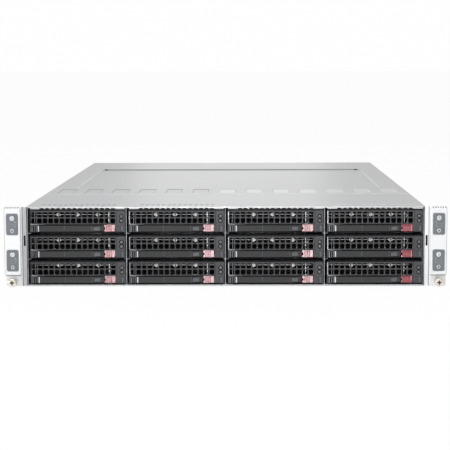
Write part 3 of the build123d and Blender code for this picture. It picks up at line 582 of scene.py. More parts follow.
def tray_front(tray):
    """Grille panel, its rims with painted highlights, painted shade strips, the shell walls and the lever channel."""
    hole_x = [4.4 + HOLE_PITCH * column for column in range(HOLE_COLUMNS)]
    holes = [rounded(x - 2.5, x + 2.5, z - 2.75, z + 2.75, 1.35, 3) for x in hole_x
        for z in (TRAY_H - 5.5, TRAY_H - 12.3)]
    tray.plate(rounded(0.9, 95.4, 9.1, 24, 1.2, 4), holes, "y", 0, 2.2, tray_black, 0.42)
    back_open = rounded(1.9, 94.2, 9.75, 22.9, 1, 2)
    channel = [(7.7, 0.8), (93.9, 0.8), (93.9, 9.05), (81.2, 9.05), (81.2, 8.1), (7.7, 8.1)]
    outline = [(1.2, 0), (TRAY_W - 0.6, 0), (TRAY_W, 0.6), (TRAY_W, 24.6), (0, 24.6), (0, 1.2)]
    tray.plate(outline, [back_open, channel], "y", 0.7, 2.6, tray_black, 0.2)
    # the bright steel strips on the grille's left and bottom rims are painted highlights
    tray.drawn([(0.05, 1.12), (1.35, 0), (1.5, 0), (1.5, 1.3), (0.05, 1.3)], "z", 9.6, 23.6, painted_highlight_steel, 0.3)
    tray.drawn([(1.3, 9.05), (19, 9.05), (9, 9.3), (3, 9.5), (1.3, 10.1)], "y", -0.02, 0.6, painted_highlight_steel, 0.05)
    # the near-black strips above the lever and along the top and bottom of the bezel are painted shade
    tray.block(7.9, 81, 0.6, 0.8, 8, 9.08, painted_shade_black, 0.02)
    tray.block(0.4, TRAY_W - 0.4, 0.5, 0.75, 24, 24.7, painted_shade_black, 0.02)
    tray.block(1.2, TRAY_W - 0.7, 0.55, 0.75, 0, 0.8, painted_shade_black, 0.02)
    tray.block(95.6, TRAY_W - 0.7, 0.45, 1, 8.3, 24.3, block_black, 0.3)
    top_wall = [(0.75, 23.9), (0.8, 24.5), (1.3, 25), (1.6, 25.2), (13, 25.2), (13, 23.9)]
    tray.drawn(top_wall, "x", 0.3, TRAY_W - 0.3, tray_black)
    # the near-black floor under the lever is painted shade
    tray.block(1.4, TRAY_W - 1.4, 2.4, 13, 0, 0.8, painted_shade_black, 0.1)
    tray.block(1.4, 81.2, 2.4, 13, 8.1, 8.9, tray_black, 0.1)
    # the near-black wall behind the lever is painted shade
    tray.block(7.9, 93.7, 13.1, 13.9, 0.8, 8.4, painted_shade_black, 0.1)
    tray.block(0, 1.4, 1, 13, 0, 24.6, tray_black, 0.3)
    tray.block(TRAY_W - 1.4, TRAY_W, 1, 13, 0, 24.6, tray_black, 0.3)


def tray_marks(tray):
    """The light pipes in their rims and the ribs at both ends of the channel."""
    # the near-black cup round each light pipe is painted shade
    for z in (TRAY_H - 7.3, TRAY_H - 12.2):
        tray.turned([(1.7, 0.72), (2.6, 0.72), (2.55, 0.3), (2.3, 0.12), (1.95, 0.2), (1.7, 0.5)], "y", 100.6, z,
            painted_shade_black, 24)
        tray.turned([(0, 0.18), (0.9, 0.24), (1.5, 0.45), (1.72, 0.72), (0, 0.72)], "y", 100.6, z, lens_smoke, 20)
    # each rib's front face is in bright steel: a painted highlight
    for x in (2.3, 4.5, 6.5):
        tray.drawn([(x, 0.75), (x + 0.55, 0.15), (x + 0.65, 0.15), (x + 0.65, 0.8), (x, 0.8)], "z", 1, 7.2,
            painted_highlight_steel, 0.1)
        tray.block(x + 0.6, x + 1.2, 0.15, 0.9, 1, 7.2, block_black, 0.1)
    # the near-black strips between the ribs are painted shade
    for x, wide in ((3.55, 0.9), (5.75, 0.7)):
        tray.block(x, x + wide, 0.6, 0.9, 1, 7.2, painted_shade_black, 0.05)
    # the paler grey bar under the light pipes is a painted highlight
    tray.drawn([(100.5, 0.72), (100.9, 0.1), (102.2, 0.1), (102.6, 0.72)], "z", 1.4, 7.1, painted_highlight_grey, 0.2)
    tray.block(95, 99.6, 0.35, 0.9, 1.2, 7.2, tray_black, 0.3)
    tray.drawn([(95.9, 0.75), (96.1, 0.45), (96.5, 0.45), (96.7, 0.75)], "z", 8.4, 24, tray_black, 0.1)


# %% [markdown]
# Behind the grille a bright bar runs across the tray, with three diamond-shaped tabs that the holes reveal only
# in part, and a narrow upright strip near the right end. They sit at their true depth behind the face, so they
# shift in the holes from column to column as in a real server.

# %% Behind the grille
def tray_inside(tray):
    """Bright bar with its tabs, upright strip, grounding fingers and side rails."""
    tray.block(1.4, TRAY_W - 1.4, 27.6, 28.3, 16.9, 17.6, bright_steel_and_highlight, 0.15)
    for x in (28.4, 49.6, 72.2):
        diamond = [(x - 3.5, 17.2), (x, 14.5), (x + 3.5, 17.2), (x, 19.9)]
        tray.drawn(diamond, "y", 26.8, 27.7, bright_steel_and_highlight, 0.25)
    tray.block(85.1, 86.3, 13.2, 14, 8.6, 23.4, bright_steel_and_highlight, 0.15)
    # a bright steel strip behind the left-hand holes is a painted highlight, a glint
    tray.block(5, 5.4, 3, 3.6, 9.5, 22.8, painted_highlight_steel, 0.1)
    # the grounding fingers are in dark steel: painted shade in the gap above the tray
    for k in range(13):
        x = 4.9 + 7.9 * k
        tray.drawn([(4.6, 25.14), (7, 25.5), (9.5, 25.5), (12.2, 25.14), (12.2, 25.02), (9.5, 25.36), (7, 25.36),
            (4.6, 25.02)], "x", x - 3, x + 3, dark_steel)
    cuts = [rounded(y, y + 22, 8, 15, 2.5, 3) for y in (40, 84, 128)]
    rail = [(12.8, -0.2), (178, -0.2), (178, 20), (170, 24.9), (12.8, 24.9)]
    for outer, inner, out in ((0, 1.4, -1), (TRAY_W, TRAY_W - 1.4, 1)):
        tray.plate(rail, cuts, "x", outer, inner, tray_black, 0.3)
        for y in (70, 114.6, 172):
            screw_head(tray, "x", y, 5.4, outer - 0.35 * out, out, 2.3)


def tray_drive(tray):
    """The 3.5 inch drive: a cast body with a lid, its ring and its screws."""
    cast = [(4.6, 31), (100.2, 31), (103.2, 34), (103.2, 178), (1.6, 178), (1.6, 34)]
    tray.drawn(cast, "z", -0.7, 23.6, drive_metal, 0.5)
    tray.plate(rounded(5, 99.8, 35, 172, 5, 4), [rounded(18, 86, 48, 118, 30, 8)], "z", 24.7, 23.4, drive_metal,
        0.5)
    tray.turned([(33, 23.5), (33, 24), (31.5, 24.4), (12, 24.4), (10.5, 24.9), (0, 24.9)], "z", 52, 83, drive_metal,
        48)
    for x, y in ((9, 39), (96, 39), (9, 104), (96, 104), (9, 168), (96, 168), (52, 168)):
        tray.turned([(2, 24.5), (2, 25.1), (1.7, 25.2), (0.9, 25.2), (0.7, 24.8), (0, 24.8)], "z", x, y,
            steel_screw, 14)
    # the near-black front face of the drive is painted shade, so that the grille holes read dark
    tray.block(1.5, 103.3, 30.2, 31.4, 0.2, 24, painted_shade_black, 0.3)
    tray.block(20, 84, 29.4, 30.6, 3, 9.5, lever_black, 0.4)


tray = Maker()
tray_front(tray)
tray_marks(tray)
tray_inside(tray)
tray_drive(tray)
tray_mesh = tray.mesh("drive_tray_front")
print("tray mesh:", len(tray_mesh.vertices), "points")

# %% [markdown]
# The lever is glossy black. Its left end is rounded over and carries a bright steel strip that is a painted
# highlight. Two fine seams cross it, drawn in a paler grey as painted highlights, and its far end dips into a
# scoop for a finger, whose paler grey patch is a painted highlight too. It is drawn from above and given its height.
# The red release button beside it has a half-round notch and three upright ribs for grip.

# %% Lever and release button
lever = Maker()
outline = [(8, 3.3), (8.05, 1.6), (9.9, 0.55), (12.8, 0.38), (15.5, 0.3)]
for step in range(9):
    t = step / 8
    outline.append((68.3 + 12.4 * t, 0.3 + 3 * math.sin(t * math.pi / 2) ** 1.6))
outline.extend([(81.2, 3.4), (81.2, 6.3), (17, 6.3), (3.4, 9), (2.4, 8)])
lever.drawn(outline, "z", 1, 7.9, lever_black, 0.3)
# the bright steel strip on the rounded left end is a painted highlight
lever.drawn([(8, 1.35), (9.7, 0.38), (10, 0.38), (10, 1.6), (8, 1.6)], "z", 1.1, 7.8, bright_steel_and_highlight, 0.2)
# the seams are drawn in a paler grey: painted highlights
for x in (37.9, 67.9):
    lever.drawn([(x, 0.4), (x + 0.12, 0.2), (x + 0.33, 0.2), (x + 0.45, 0.4)], "z", 1.3, 7.6, painted_highlight_grey, 0.05)
# the paler grey patch in the scoop is a painted highlight
lever.drawn([(69.2, 0.5), (72.5, 0.95), (77, 1.95), (77, 3), (69.2, 3)], "z", 1.9, 6.6, painted_highlight_grey, 0.5)
lever_mesh = lever.mesh("tray_lever_front")

button = Maker()
notch = arc(81.5, 4.6, 1.3, 1.3, range(-90, 91, 20))
button.plate([(81.5, 1), (93.6, 1), (93.6, 8.9), (81.5, 8.9)] + notch[::-1], [], "y", 0.5, 7, release_red, 0.35)
for x in (84.6, 86.9, 89.2):
    button.drawn([(x - 0.7, 0.55), (x - 0.25, 0.4), (x + 0.25, 0.4), (x + 0.7, 0.55)], "z", 1.6, 8.3, release_red,
        0.1)
button.block(92.3, 93.5, 0.15, 0.9, 1.15, 8.75, release_red, 0.3)
BUTTON_LEAN = 0.16
button.points = [(x, y + (BUTTON_LEAN * (z - 1) if y < 2.5 else 0), z) for x, y, z in button.points]
button_mesh = button.mesh("release_button_front")

number = 0
for low in ROW_LOW:
    for left in BAY_LEFT:
        number += 1
        spot = (left, TRAY_Y, low)
        place(f"tray_{number}_front", tray_mesh, f"tray_{number}", [f"drive_tray_{number}"], spot)
        place(f"lever_{number}_front", lever_mesh, f"lever_{number}", [f"tray_lever_{number}"], spot)
        place(f"release_{number}_front", button_mesh, f"release_{number}",
            [f"release_button_{number}"], spot)
print("trays placed:", number)

# %% [markdown]
# The rack ears are folded flanges with a moulded housing in front. Each housing carries two grey overlays with
# a white power key, a ringed identify key and small printed marks. Between the overlays the housing is plain.

# %% The rack ears
def ear(maker, side):
    """Flange in two plates with a slit and dark gaps, all painted shade, a left flange greyed by painted shade, and
    the leg along the wall with its screws.
    """
    maker.plate(sided(rounded(222.9, EAR_X, 0.4, 87.6, 0.8, 3), side),
        [sided(circle(EAR_MID, SCREW_Z, 2.8, 20), side)], "y", -2, 0, ear_silver, 0.25)
    # the dark strip between the two flange plates is painted shade
    maker.drawn(sided(rect(222, 223.1, -1.2, 0), side), "z", 0.4, 87.6, dark_steel)
    # the left flange is grey and the right one white: painted shade on the left one
    maker.plate(sided(rounded(217.7, 222.2, 0.4, 87.6, 0.3, 2), side), [], "y", -1.9, 0,
        cover_steel if side < 0 else ear_silver, 0.3)
    # the slit is a near-black plate on the flange face, and a near-black strip runs along the flange's inner edge:
    # both painted shade
    maker.plate(sided(rounded(219, 221.1, 44.6, 56.4, 0.9, 3), side), [], "y", -1.97, -1, painted_shade_black, 0.02)
    maker.block(*sorted((side * 217.3, side * 217.75)), -1.8, 0, 0.6, 87, painted_shade_black, 0.05)
    maker.plate(rect(0, 30, 1, 75.7), [circle(18, z, 2.2, 16) for z in (14, 62)], "x", side * 218.7, side * 217.75,
        ear_silver, 0.2)
    for z in (26, 50):
        screw_head(maker, "x", 18, z, side * 218.65, side, 2.6)


def housing(maker, side):
    """The moulded housing with a window for each overlay, ribs on top and a foot for the thumbscrew."""
    windows = [rounded(226.1, 239, z - 0.1, z + 23.4, 1.9, 4) for z in OVERLAY_LOW]
    shape = rounded(223.8, EAR_X, 13.4, HIGH - 0.4, 1.6, 4)
    maker.plate(sided(shape, side), [sided(w, side) for w in windows], "y", -9, -2.05, ear_silver, 0.6)
    maker.plate(sided(grown(shape, -1), side), [], "y", -8.2, -2.1, ear_silver, 0.1)
    # the dark ribs on top and the dark line above the foot are painted shade
    for k in range(6):
        x = 225.6 + k * 2.75
        maker.block(*sorted((side * x, side * (x + 1.2))), -9.03, -2.6, HIGH - 1.4, HIGH - 0.3, dark_steel, 0.1)
    maker.block(*sorted((side * 224.4, side * 240.7)), -8.6, -2.1, 12.9, 13.5, dark_steel, 0.1)
    # the darker strip on the housing's outer edge is painted shade
    maker.block(*sorted((side * 240.9, side * EAR_X)), -8.85, -2.1, 14.2, HIGH - 1.2, painted_shade_steel, 0.05)
    maker.plate(sided(rounded(224.2, 240.9, 0.6, 12.8, 1.2, 3), side),
        [sided(circle(EAR_MID, SCREW_Z, 3.6, 24), side)], "y", -3.6, -2, ear_silver, 0.4)


ears = Maker(FRONT)
for side in (-1, 1):
    ear(ears, side)
    housing(ears, side)
place("rack_ear_pair", ears, "chassis", ["rack_ears"])

# %% Overlays and their marks
PANEL_FACE = -9.2
overlays = Maker(FRONT)
for side in (-1, 1):
    for low in OVERLAY_LOW:
        middle = side * EAR_MID
        top = low + OVERLAY_H
        holes = [circle(middle, top - POWER_DROP, 2.8, 24), circle(middle, top - IDENT_DROP, 2.3, 24)]
        overlays.plate(rounded(middle - 6.35, middle + 6.35, low, top, 1.8, 4), holes, "y", PANEL_FACE, -8.4,
            panel_grey, 0.2)
        led = middle - side * 3.2
        overlays.drawn([(led - 1.1, top - 9.9), (led + 1.1, top - 9.9), (led, top - 8)], "y", PANEL_FACE - 0.06,
            PANEL_FACE + 0.1, mark_faint)
        for z in (top - 11.6, top - 14.4):
            overlays.block(middle - 3.6, middle + 4.4, PANEL_FACE - 0.05, PANEL_FACE + 0.1, z, z + 0.22, mark_faint,
                0.02)
        overlays.drawn(circle(led, top - 13, 0.55, 12), "y", PANEL_FACE - 0.06, PANEL_FACE + 0.1, mark_faint)
place("overlay_panels", overlays, "chassis", ["control_panels"])

# %% The keys
power_key = Maker()
power_key.turned([(0, -0.95), (1.9, -0.95), (2.35, -0.75), (2.5, -0.4), (2.5, 4), (0, 4)], "y", 0, 0, key_white, 28)
power_key.plate(circle(0, -0.15, 1.25, 20), [circle(0, -0.15, 0.85, 20)[::-1]], "y", -0.99, -0.9, panel_grey, 0.01)
power_key.block(-0.2, 0.2, -1, -0.9, 0.3, 1.5, panel_grey, 0.02)
ident_key = Maker()
ident_key.turned([(0, -0.75), (1.1, -0.75), (1.2, -0.95), (1.75, -0.95), (2, -0.6), (2, 4), (0, 4)], "y", 0, 0,
    mark_white, 28)
ident_key.plate(circle(0, 0, 1.12, 20), [], "y", -0.82, -0.7, panel_grey, 0.05)
power_mesh = power_key.mesh("power_key_cap")
ident_mesh = ident_key.mesh("identify_key_cap")
for number in range(1, 5):
    middle = EAR_MID if number > 2 else -EAR_MID
    top = OVERLAY_LOW[(number + 1) % 2] + OVERLAY_H
    place(f"power_key_{number}", power_mesh, f"power_{number}", [f"power_button_{number}"],
        (middle, FRONT + PANEL_FACE, top - POWER_DROP))
    place(f"identify_key_{number}", ident_mesh, f"ident_{number}", [f"id_button_{number}"],
        (middle, FRONT + PANEL_FACE, top - IDENT_DROP))

# %% [markdown]
# A captive thumbscrew stands at the foot of each ear. Its knob is plated a warm nickel, knurled round the rim and
# has a cross recess. The knurl is real geometry: every second point of the rim steps inwards.

# %% Thumbscrews
def knurled(u, v, radius, count=48, step=0.22):
    """A ring whose points step in and out like a knurl."""
    outer, inner = circle(u, v, radius, count), circle(u, v, radius - step, count)
    return [(inner if k % 2 else outer)[k] for k in range(count)]


screws = Maker(FRONT)
for side in (-1, 1):
    x = side * EAR_MID
    rims = [(circle(x, SCREW_Z, 3.6, 48), -17), (circle(x, SCREW_Z, 4.35, 48), -16.5),
        (knurled(x, SCREW_Z, 4.8), -15.6), (knurled(x, SCREW_Z, 4.8), -9.4), (circle(x, SCREW_Z, 4.3, 48), -8.6),
        (circle(x, SCREW_Z, 3.4, 48), -8.5), (circle(x, SCREW_Z, 3.4, 48), -2.2)]
    screws.layers("y", rims, screw_nickel)
    # the cross recess is filled with dark steel: painted shade
    for a, b in ((2.5, 0.62), (0.62, 2.5)):
        screws.drawn(rect(x - a, x + a, SCREW_Z - b, SCREW_Z + b), "y", -17, -16, dark_steel)
    threads = [(2.5 if k % 2 else 2.2, 0.5 + k * 0.37) for k in range(23)]
    screws.turned([(2.2, -2.2)] + threads + [(0, 9)], "y", x, SCREW_Z, steel_screw, 20)
place("thumbscrew_pair", screws, "chassis", ["thumbscrews"])

# %% [markdown]
# The pan is one sheet folded up at both sides, welded to the frame of the rear bays. Its corners have a bend
# radius, its walls carry shoulder studs for the rack rails, and its floor is held to the cage by flat screws.
# The front edge of the floor is hemmed, and a white strip along it is a painted highlight, which shows as a pale
# line under the lowest trays.

# %% The pan and the rear frame
SLED_Y = -117.7
pan = Maker()
floor_screws = [(x, y) for x in (-190, -108.6, 0, 108.6, 190) for y in (-340, -200, -60, 90, 240, 340)]
pan.plate(rect(-INNER_HALF, INNER_HALF, FRONT, REAR), [circle(x, y, 2.6, 14) for x, y in floor_screws], "z", 0, 1,
    zinc, 0.12)
for x, y in floor_screws:
    screw_head(pan, "z", x, y, 0.62, -1, 2.35)
for side in (-1, 1):
    bend = [(216.4, 0), (217.2, 0.12), (217.6, 0.5), (217.7, 1.3), (216.7, 1.3), (216.4, 1)]
    pan.drawn(sided(bend, side), "y", FRONT, REAR, zinc)
    slots = [rounded(y, y + 16, 20, 26, 2.9, 4) for y in (-290, -150, 10, 150, 290)]
    pan.plate(rect(FRONT, REAR, 1.2, 86.7), slots, "x", side * 217.7, side * 216.7, zinc, 0.1)
    for y in (-270, -90, 90, 270):
        profile = [(1.6, 217.6), (1.6, 218), (3.1, 218), (3.1, 218.7), (2.6, 218.95), (0, 218.95)]
        pan.turned([(radius, side * x) for radius, x in profile], "x", y, 44, steel_screw, 20)
    for y in (-335, -310, -225, 200, 335):
        for z in (12, 68):
            screw_head(pan, "x", y, z, side * 217.65, side, 2.4, 0.4)
    pan.plate(rect(SLED_Y, REAR, 1, 85.4), [rounded(y, y + 30, z, z + 14, 4, 4)
        for y in (-90, -20, 50, 120, 190, 260) for z in (14, 57)], "x", side * 38.25, side * 37.25, zinc, 0.12)
pan.plate(rect(-216.7, 216.7, SLED_Y, REAR), [rounded(x, x + 44, y, y + 30, 5, 4) for x in (-200, -130, 86, 156)
    for y in (-80, 10, 100, 190, 280)], "z", 43.6, 42.8, zinc, 0.1)
for x in (-127, 127):
    pan.block(x - 84, x + 84, REAR - 0.9, REAR - 0.05, 42.3, 43.7, zinc, 0.15)
# the white strip on the floor's front edge is a painted highlight
pan.block(-216, 216, FRONT + 0.05, FRONT + 0.95, 0, 1.4, ear_silver, 0.2)
place("chassis_pan", pan, "chassis", ["base_pan"])
print("floor screws:", len(floor_screws))

# %% [markdown]
# Between the columns stand three pierced walls with a ledge for every row. The outer ledges are strips on the
# pan's own walls. Their dark steel is painted shade, the shade deep in the bays, so the trays' grilles read dark
# against them.

# %% The drive cage
BACK_Y = -188.5
cage = Maker()
for x in WALL_X:
    vents = [rounded(y, y + 24, z, z + 12, 4, 4) for y in (-330, -290, -250, -219) for z in (8, 37, 65)]
    cage.plate(rect(FRONT + 1.3, BACK_Y, 1, 86.7), vents, "x", x + 0.5, x - 0.5, dark_steel, 0.1)
ledges = [(x - 2.2, x - 0.5) for x in WALL_X] + [(x + 0.5, x + 4) for x in WALL_X]
for x0, x1 in ledges + [(-216.7, -213.2), (215, 216.7)]:
    for low in ROW_LOW:
        cage.block(x0, x1, FRONT + 1.3, BACK_Y, low - 1.4, low - 0.5, dark_steel, 0.15)
place("cage_walls", cage, "chassis", ["drive_cage"])
print("cage walls:", len(WALL_X), "ledges:", 3 * len(ledges) + 6)

# %% [markdown]
# The backplane and the midplane are thick circuit boards with windows for the cooling air. Each drive meets a
# black socket, and small chips and capacitors stand on the side that faces the fans.

# %% Backplane and midplane
MID_Y = -128.1
SOCKET_HALVES = ((-20.5, -3), (-1.5, 20.5))
boards = Maker(BACK_Y)
windows = [rounded(x - 42, x + 42, low + 5.3, low + 14.3, 1.5, 3) for x in BAY_MIDDLE for low in ROW_LOW]
boards.plate(rect(-INNER_HALF, INNER_HALF, 1.3, 86.7), windows, "y", 0, 2.4, board_green, 0.1)
chance = random.Random(5)
for middle in BAY_MIDDLE:
    for low in ROW_LOW:
        keys = [rounded(middle + x0, middle + x1, low + 1.6, low + 3.2, 0.3, 2) for x0, x1 in SOCKET_HALVES]
        boards.plate(rounded(middle - 22, middle + 22, low, low + 5, 0.6, 2), keys, "y", -2.7, 0, lever_black, 0.15)
        boards.block(middle - 20, middle + 20, -1.2, -0.1, low + 1.5, low + 1.9, contact_gold, 0.05)
        for k in range(7):
            x = middle - 38 + 12 * k + chance.uniform(-2, 2)
            z = low + 17.4 + chance.uniform(0, 3)
            boards.block(x, x + chance.choice((2, 4, 7)), 2.35, 3.4, z, z + 3.2, lever_black, 0.1)
boards.start_y = MID_Y
windows = [rounded(x - 42, x + 42, low, low + 18, 2, 3) for x in BAY_MIDDLE for low in (21.25, 63.85)]
boards.plate(rect(-INNER_HALF, INNER_HALF, 1.3, 85.1), windows, "y", 0, 2.4, board_green, 0.1)
for x in (-207, -108, 0, 108, 207):
    for z in (15, 54):
        boards.turned([(0, -5.5), (2.8, -5.5), (3.1, -5), (3.1, 0.05)], "y", x, z, bright_steel_and_highlight, 18)
place("server_boards", boards, "chassis", ["circuit_boards"])

# %% [markdown]
# Four fans stand behind the backplane. A fan is a square frame with a round bore, a hub on a cross of struts and
# seven twisted blades. The blades are skinned from rows of points: a chord that turns and leans with the radius.

# %% Fans
FAN_Y = -178.1
FAN_Z = 41.3
BLADES = 7


def blade(maker, x, z, start, finish, count=5):
    """One twisted blade: a thin closed ring of points at each of four radii."""
    ring = [(k / (count - 1), -0.55) for k in range(count)] + [(k / (count - 1), 0.55) for k in range(count)][::-1]
    points = []
    for row in range(4):
        radius = 15.5 + row * 7
        for t, off in ring:
            angle = math.radians(start + 6 * row + 34 * t)
            points.append((x + radius * math.cos(angle), 27 - 21 * t + 3 * math.sin(t * math.pi) + off,
                z + radius * math.sin(angle)))
    last, tip = 2 * count - 1, 6 * count
    caps = [(k, k + 1, last - 1 - k, last - k) for k in range(count - 1)]
    caps += [(tip + k + 1, tip + k, tip + last - k, tip + last - 1 - k) for k in range(count - 1)]
    maker.add(points, bands(2 * count, 4) + caps, finish)


frames = Maker(FAN_Y)
rotors = Maker(FAN_Y)
for middle in BAY_MIDDLE:
    square = rounded(middle - 40, middle + 40, FAN_Z - 40, FAN_Z + 40, 4, 4)
    corners = [circle(middle + sx * 35.7, FAN_Z + sz * 35.7, 2.1, 12) for sx in (-1, 1) for sz in (-1, 1)]
    bore = circle(middle, FAN_Z, 38, 48)
    for face, back in ((0, 4), (38, 34)):
        frames.plate(square, [bore] + corners, "y", face, back, lever_black, 0.5)
    frames.plate(circle(middle, FAN_Z, 39.8, 48), [bore], "y", 3.5, 34.5, lever_black, 0.05)
    frames.turned([(0, 34.8), (15.5, 34.8), (16.5, 35.8), (16.5, 38), (0, 38)], "y", middle, FAN_Z, lever_black, 32)
    for sx, sz in ((-1, 0), (1, 0), (0, -1), (0, 1)):
        x0, x1 = sorted((middle + sx * 15.5 - 2 * (sx == 0), middle + sx * 38.5 + 2 * (sx == 0)))
        z0, z1 = sorted((FAN_Z + sz * 15.5 - 2 * (sz == 0), FAN_Z + sz * 38.5 + 2 * (sz == 0)))
        frames.block(x0, x1, 35.1, 38, z0, z1, lever_black, 0.6)
    rotors.turned([(0, 0.6), (9, 0.6), (14.5, 1.4), (16.5, 4), (16.5, 34.4), (0, 34.4)], "y", middle, FAN_Z,
        lever_black, 36)
    rotors.turned([(0, 0.35), (6.5, 0.35), (6.8, 0.65), (0, 0.65)], "y", middle, FAN_Z, block_black, 28)
    for k in range(BLADES):
        blade(rotors, middle, FAN_Z, k * 360 / BLADES, block_black)
place("fan_frames", frames, "chassis", ["fan_housings"])
place("fan_wheels", rotors, "chassis", ["fan_rotors"])
print("fans:", len(BAY_LEFT), "with", BLADES, "blades each")

# %% [markdown]
# A node sled is a folded tray that carries a whole computer: a board with two finned coolers, eight memory
# modules and a plug at the inner end, and a rear panel with vents, ports, a slot cover and a pull handle.
# Its frame starts at its lower left inner corner, so one mesh serves all four sleds.

# %% The node sled
SLED_W = 177.65
SLED_D = 473.2
COOLER_W = 78
FINS = 27
FIN_PITCH = 2.9


def handle_outline(width, x, y):
    """A flat U with cut corners, its feet at y."""
    far, near, cut = width / 2, width / 2 - 5, 3
    shape = [(-far, 0), (-near, 0), (-near, 22), (cut - near, 25), (near - cut, 25), (near, 22), (near, 0),
        (far, 0), (far, 24), (far - 6, 30), (6 - far, 30), (-far, 24)]
    return [(x + u, y + v) for u, v in shape]


def sled_sheet(sled):
    """Floor, side walls and the rear panel, from which the later forms and the ports count their y."""
    vents = [rounded(x, x + 26, y, y + 10, 3, 3) for x in (30, 75, 120) for y in (310, 340, 370, 400)]
    sled.plate(rect(0.4, SLED_W - 0.4, 0, 472.2), vents, "z", 0, 1, zinc, 0.1)
    for x, inner in ((0, 1), (SLED_W, SLED_W - 1)):
        wall = [(0, 0.4), (472.2, 0.4), (472.2, 34), (14, 34), (0, 24)]
        slots = [rounded(y, y + 34, 12, 20, 3, 3) for y in range(30, 420, 60)]
        sled.plate(wall, slots, "x", x, inner, zinc, 0.12)
    openings = [rounded(6 + 9 * k, 9.6 + 9 * k, z, z + 5.2, 1.7, 4) for k in range(8) for z in (23.5, 30.3)]
    openings.append(rounded(94.65, 173.65, 21.5, 37.5, 0.5, 2))
    openings += [rounded(8 + 16 * k, 20 + 16 * k, 3, 12.5, 0.6, 2) for k in range(3)]
    openings += [circle(x, 7.5, 1, 12) for x in (126, 131, 136)]
    sled.start_y = SLED_D
    sled.plate(rounded(0, SLED_W, 1, 40.5, 0.8, 3), openings, "y", 0, -1, zinc, 0.15)
    slot_vents = [rounded(100 + 5.6 * k, 103.4 + 5.6 * k, z, z + 5, 1.5, 3) for k in range(12) for z in (24, 30.6)]
    sled.plate(rounded(94.95, 173.35, 21.8, 37.2, 0.5, 2), slot_vents, "y", -0.1, -0.9, ear_silver, 0.12)
    # a near-black sheet behind the rear openings is painted shade
    sled.block(3, 120, -20, -18.6, 15.6, 39.5, painted_shade_black, 0.2)
    for x, z in ((3.4, 18.5), (174.2, 18.5), (60.5, 37.5), (88, 18.5)):
        screw_head(sled, "y", x, z, -0.05, 1, 2.2)
    for x in (126, 131, 136):
        sled.turned([(0, -0.15), (0.9, -0.3), (0.95, -1.5), (0, -1.5)], "y", x, 7.5, key_white, 12)
    sled.drawn(handle_outline(62, SLED_W / 2, 0), "z", 1, 10, lever_black, 1.2)
    sled.block(140, 168, -0.1, 2.6, 3.2, 10.4, release_red, 0.8)
    for k in range(5):
        sled.block(144 + 4 * k, 145.6 + 4 * k, 2.4, 3.2, 4.2, 9.4, release_red, 0.3)


def sled_ports(sled):
    """Three metal port shells with their tongues and contacts."""
    for k in range(3):
        x0 = 6 + 16 * k
        shell = rounded(x0 + 0.6, x0 + 15.4, 1.2, 14.2, 0.8, 3)
        mouth = rounded(x0 + 2.2, x0 + 13.8, 3.2, 12.3, 0.5, 2)
        sled.plate(shell, [mouth], "y", -1.05, -21, steel_screw, 0.2)
        # the near-black block inside each port is painted shade
        sled.block(x0 + 2, x0 + 14, -14, -12, 3, 12.4, painted_shade_black, 0.1)
    for z in (4.6, 9.2):
        sled.block(9.5, 18.5, -12.5, -2.5, z, z + 1.5, mark_white, 0.1)
    sled.block(24.5, 35.5, -12.5, -3, 3.4, 4.4, lever_black, 0.1)
    for k in range(8):
        sled.block(26 + k, 26.4 + k, -12, -3, 10.2, 10.9, contact_gold, 0.05)
    sled.drawn([(40.6, 5), (51.2, 5), (52, 10.6), (39.8, 10.6)], "y", -12, -2.2, port_blue, 0.3)
    # the pin holes are near-black discs: painted shade
    for row, z in enumerate((6.2, 7.9, 9.5)):
        for k in range(5):
            x = 42 + 1.75 * k + 0.4 * (row % 2)
            sled.turned([(0, -2.1), (0.35, -2.1), (0.35, -2.4)], "y", x, z, painted_shade_black, 8)


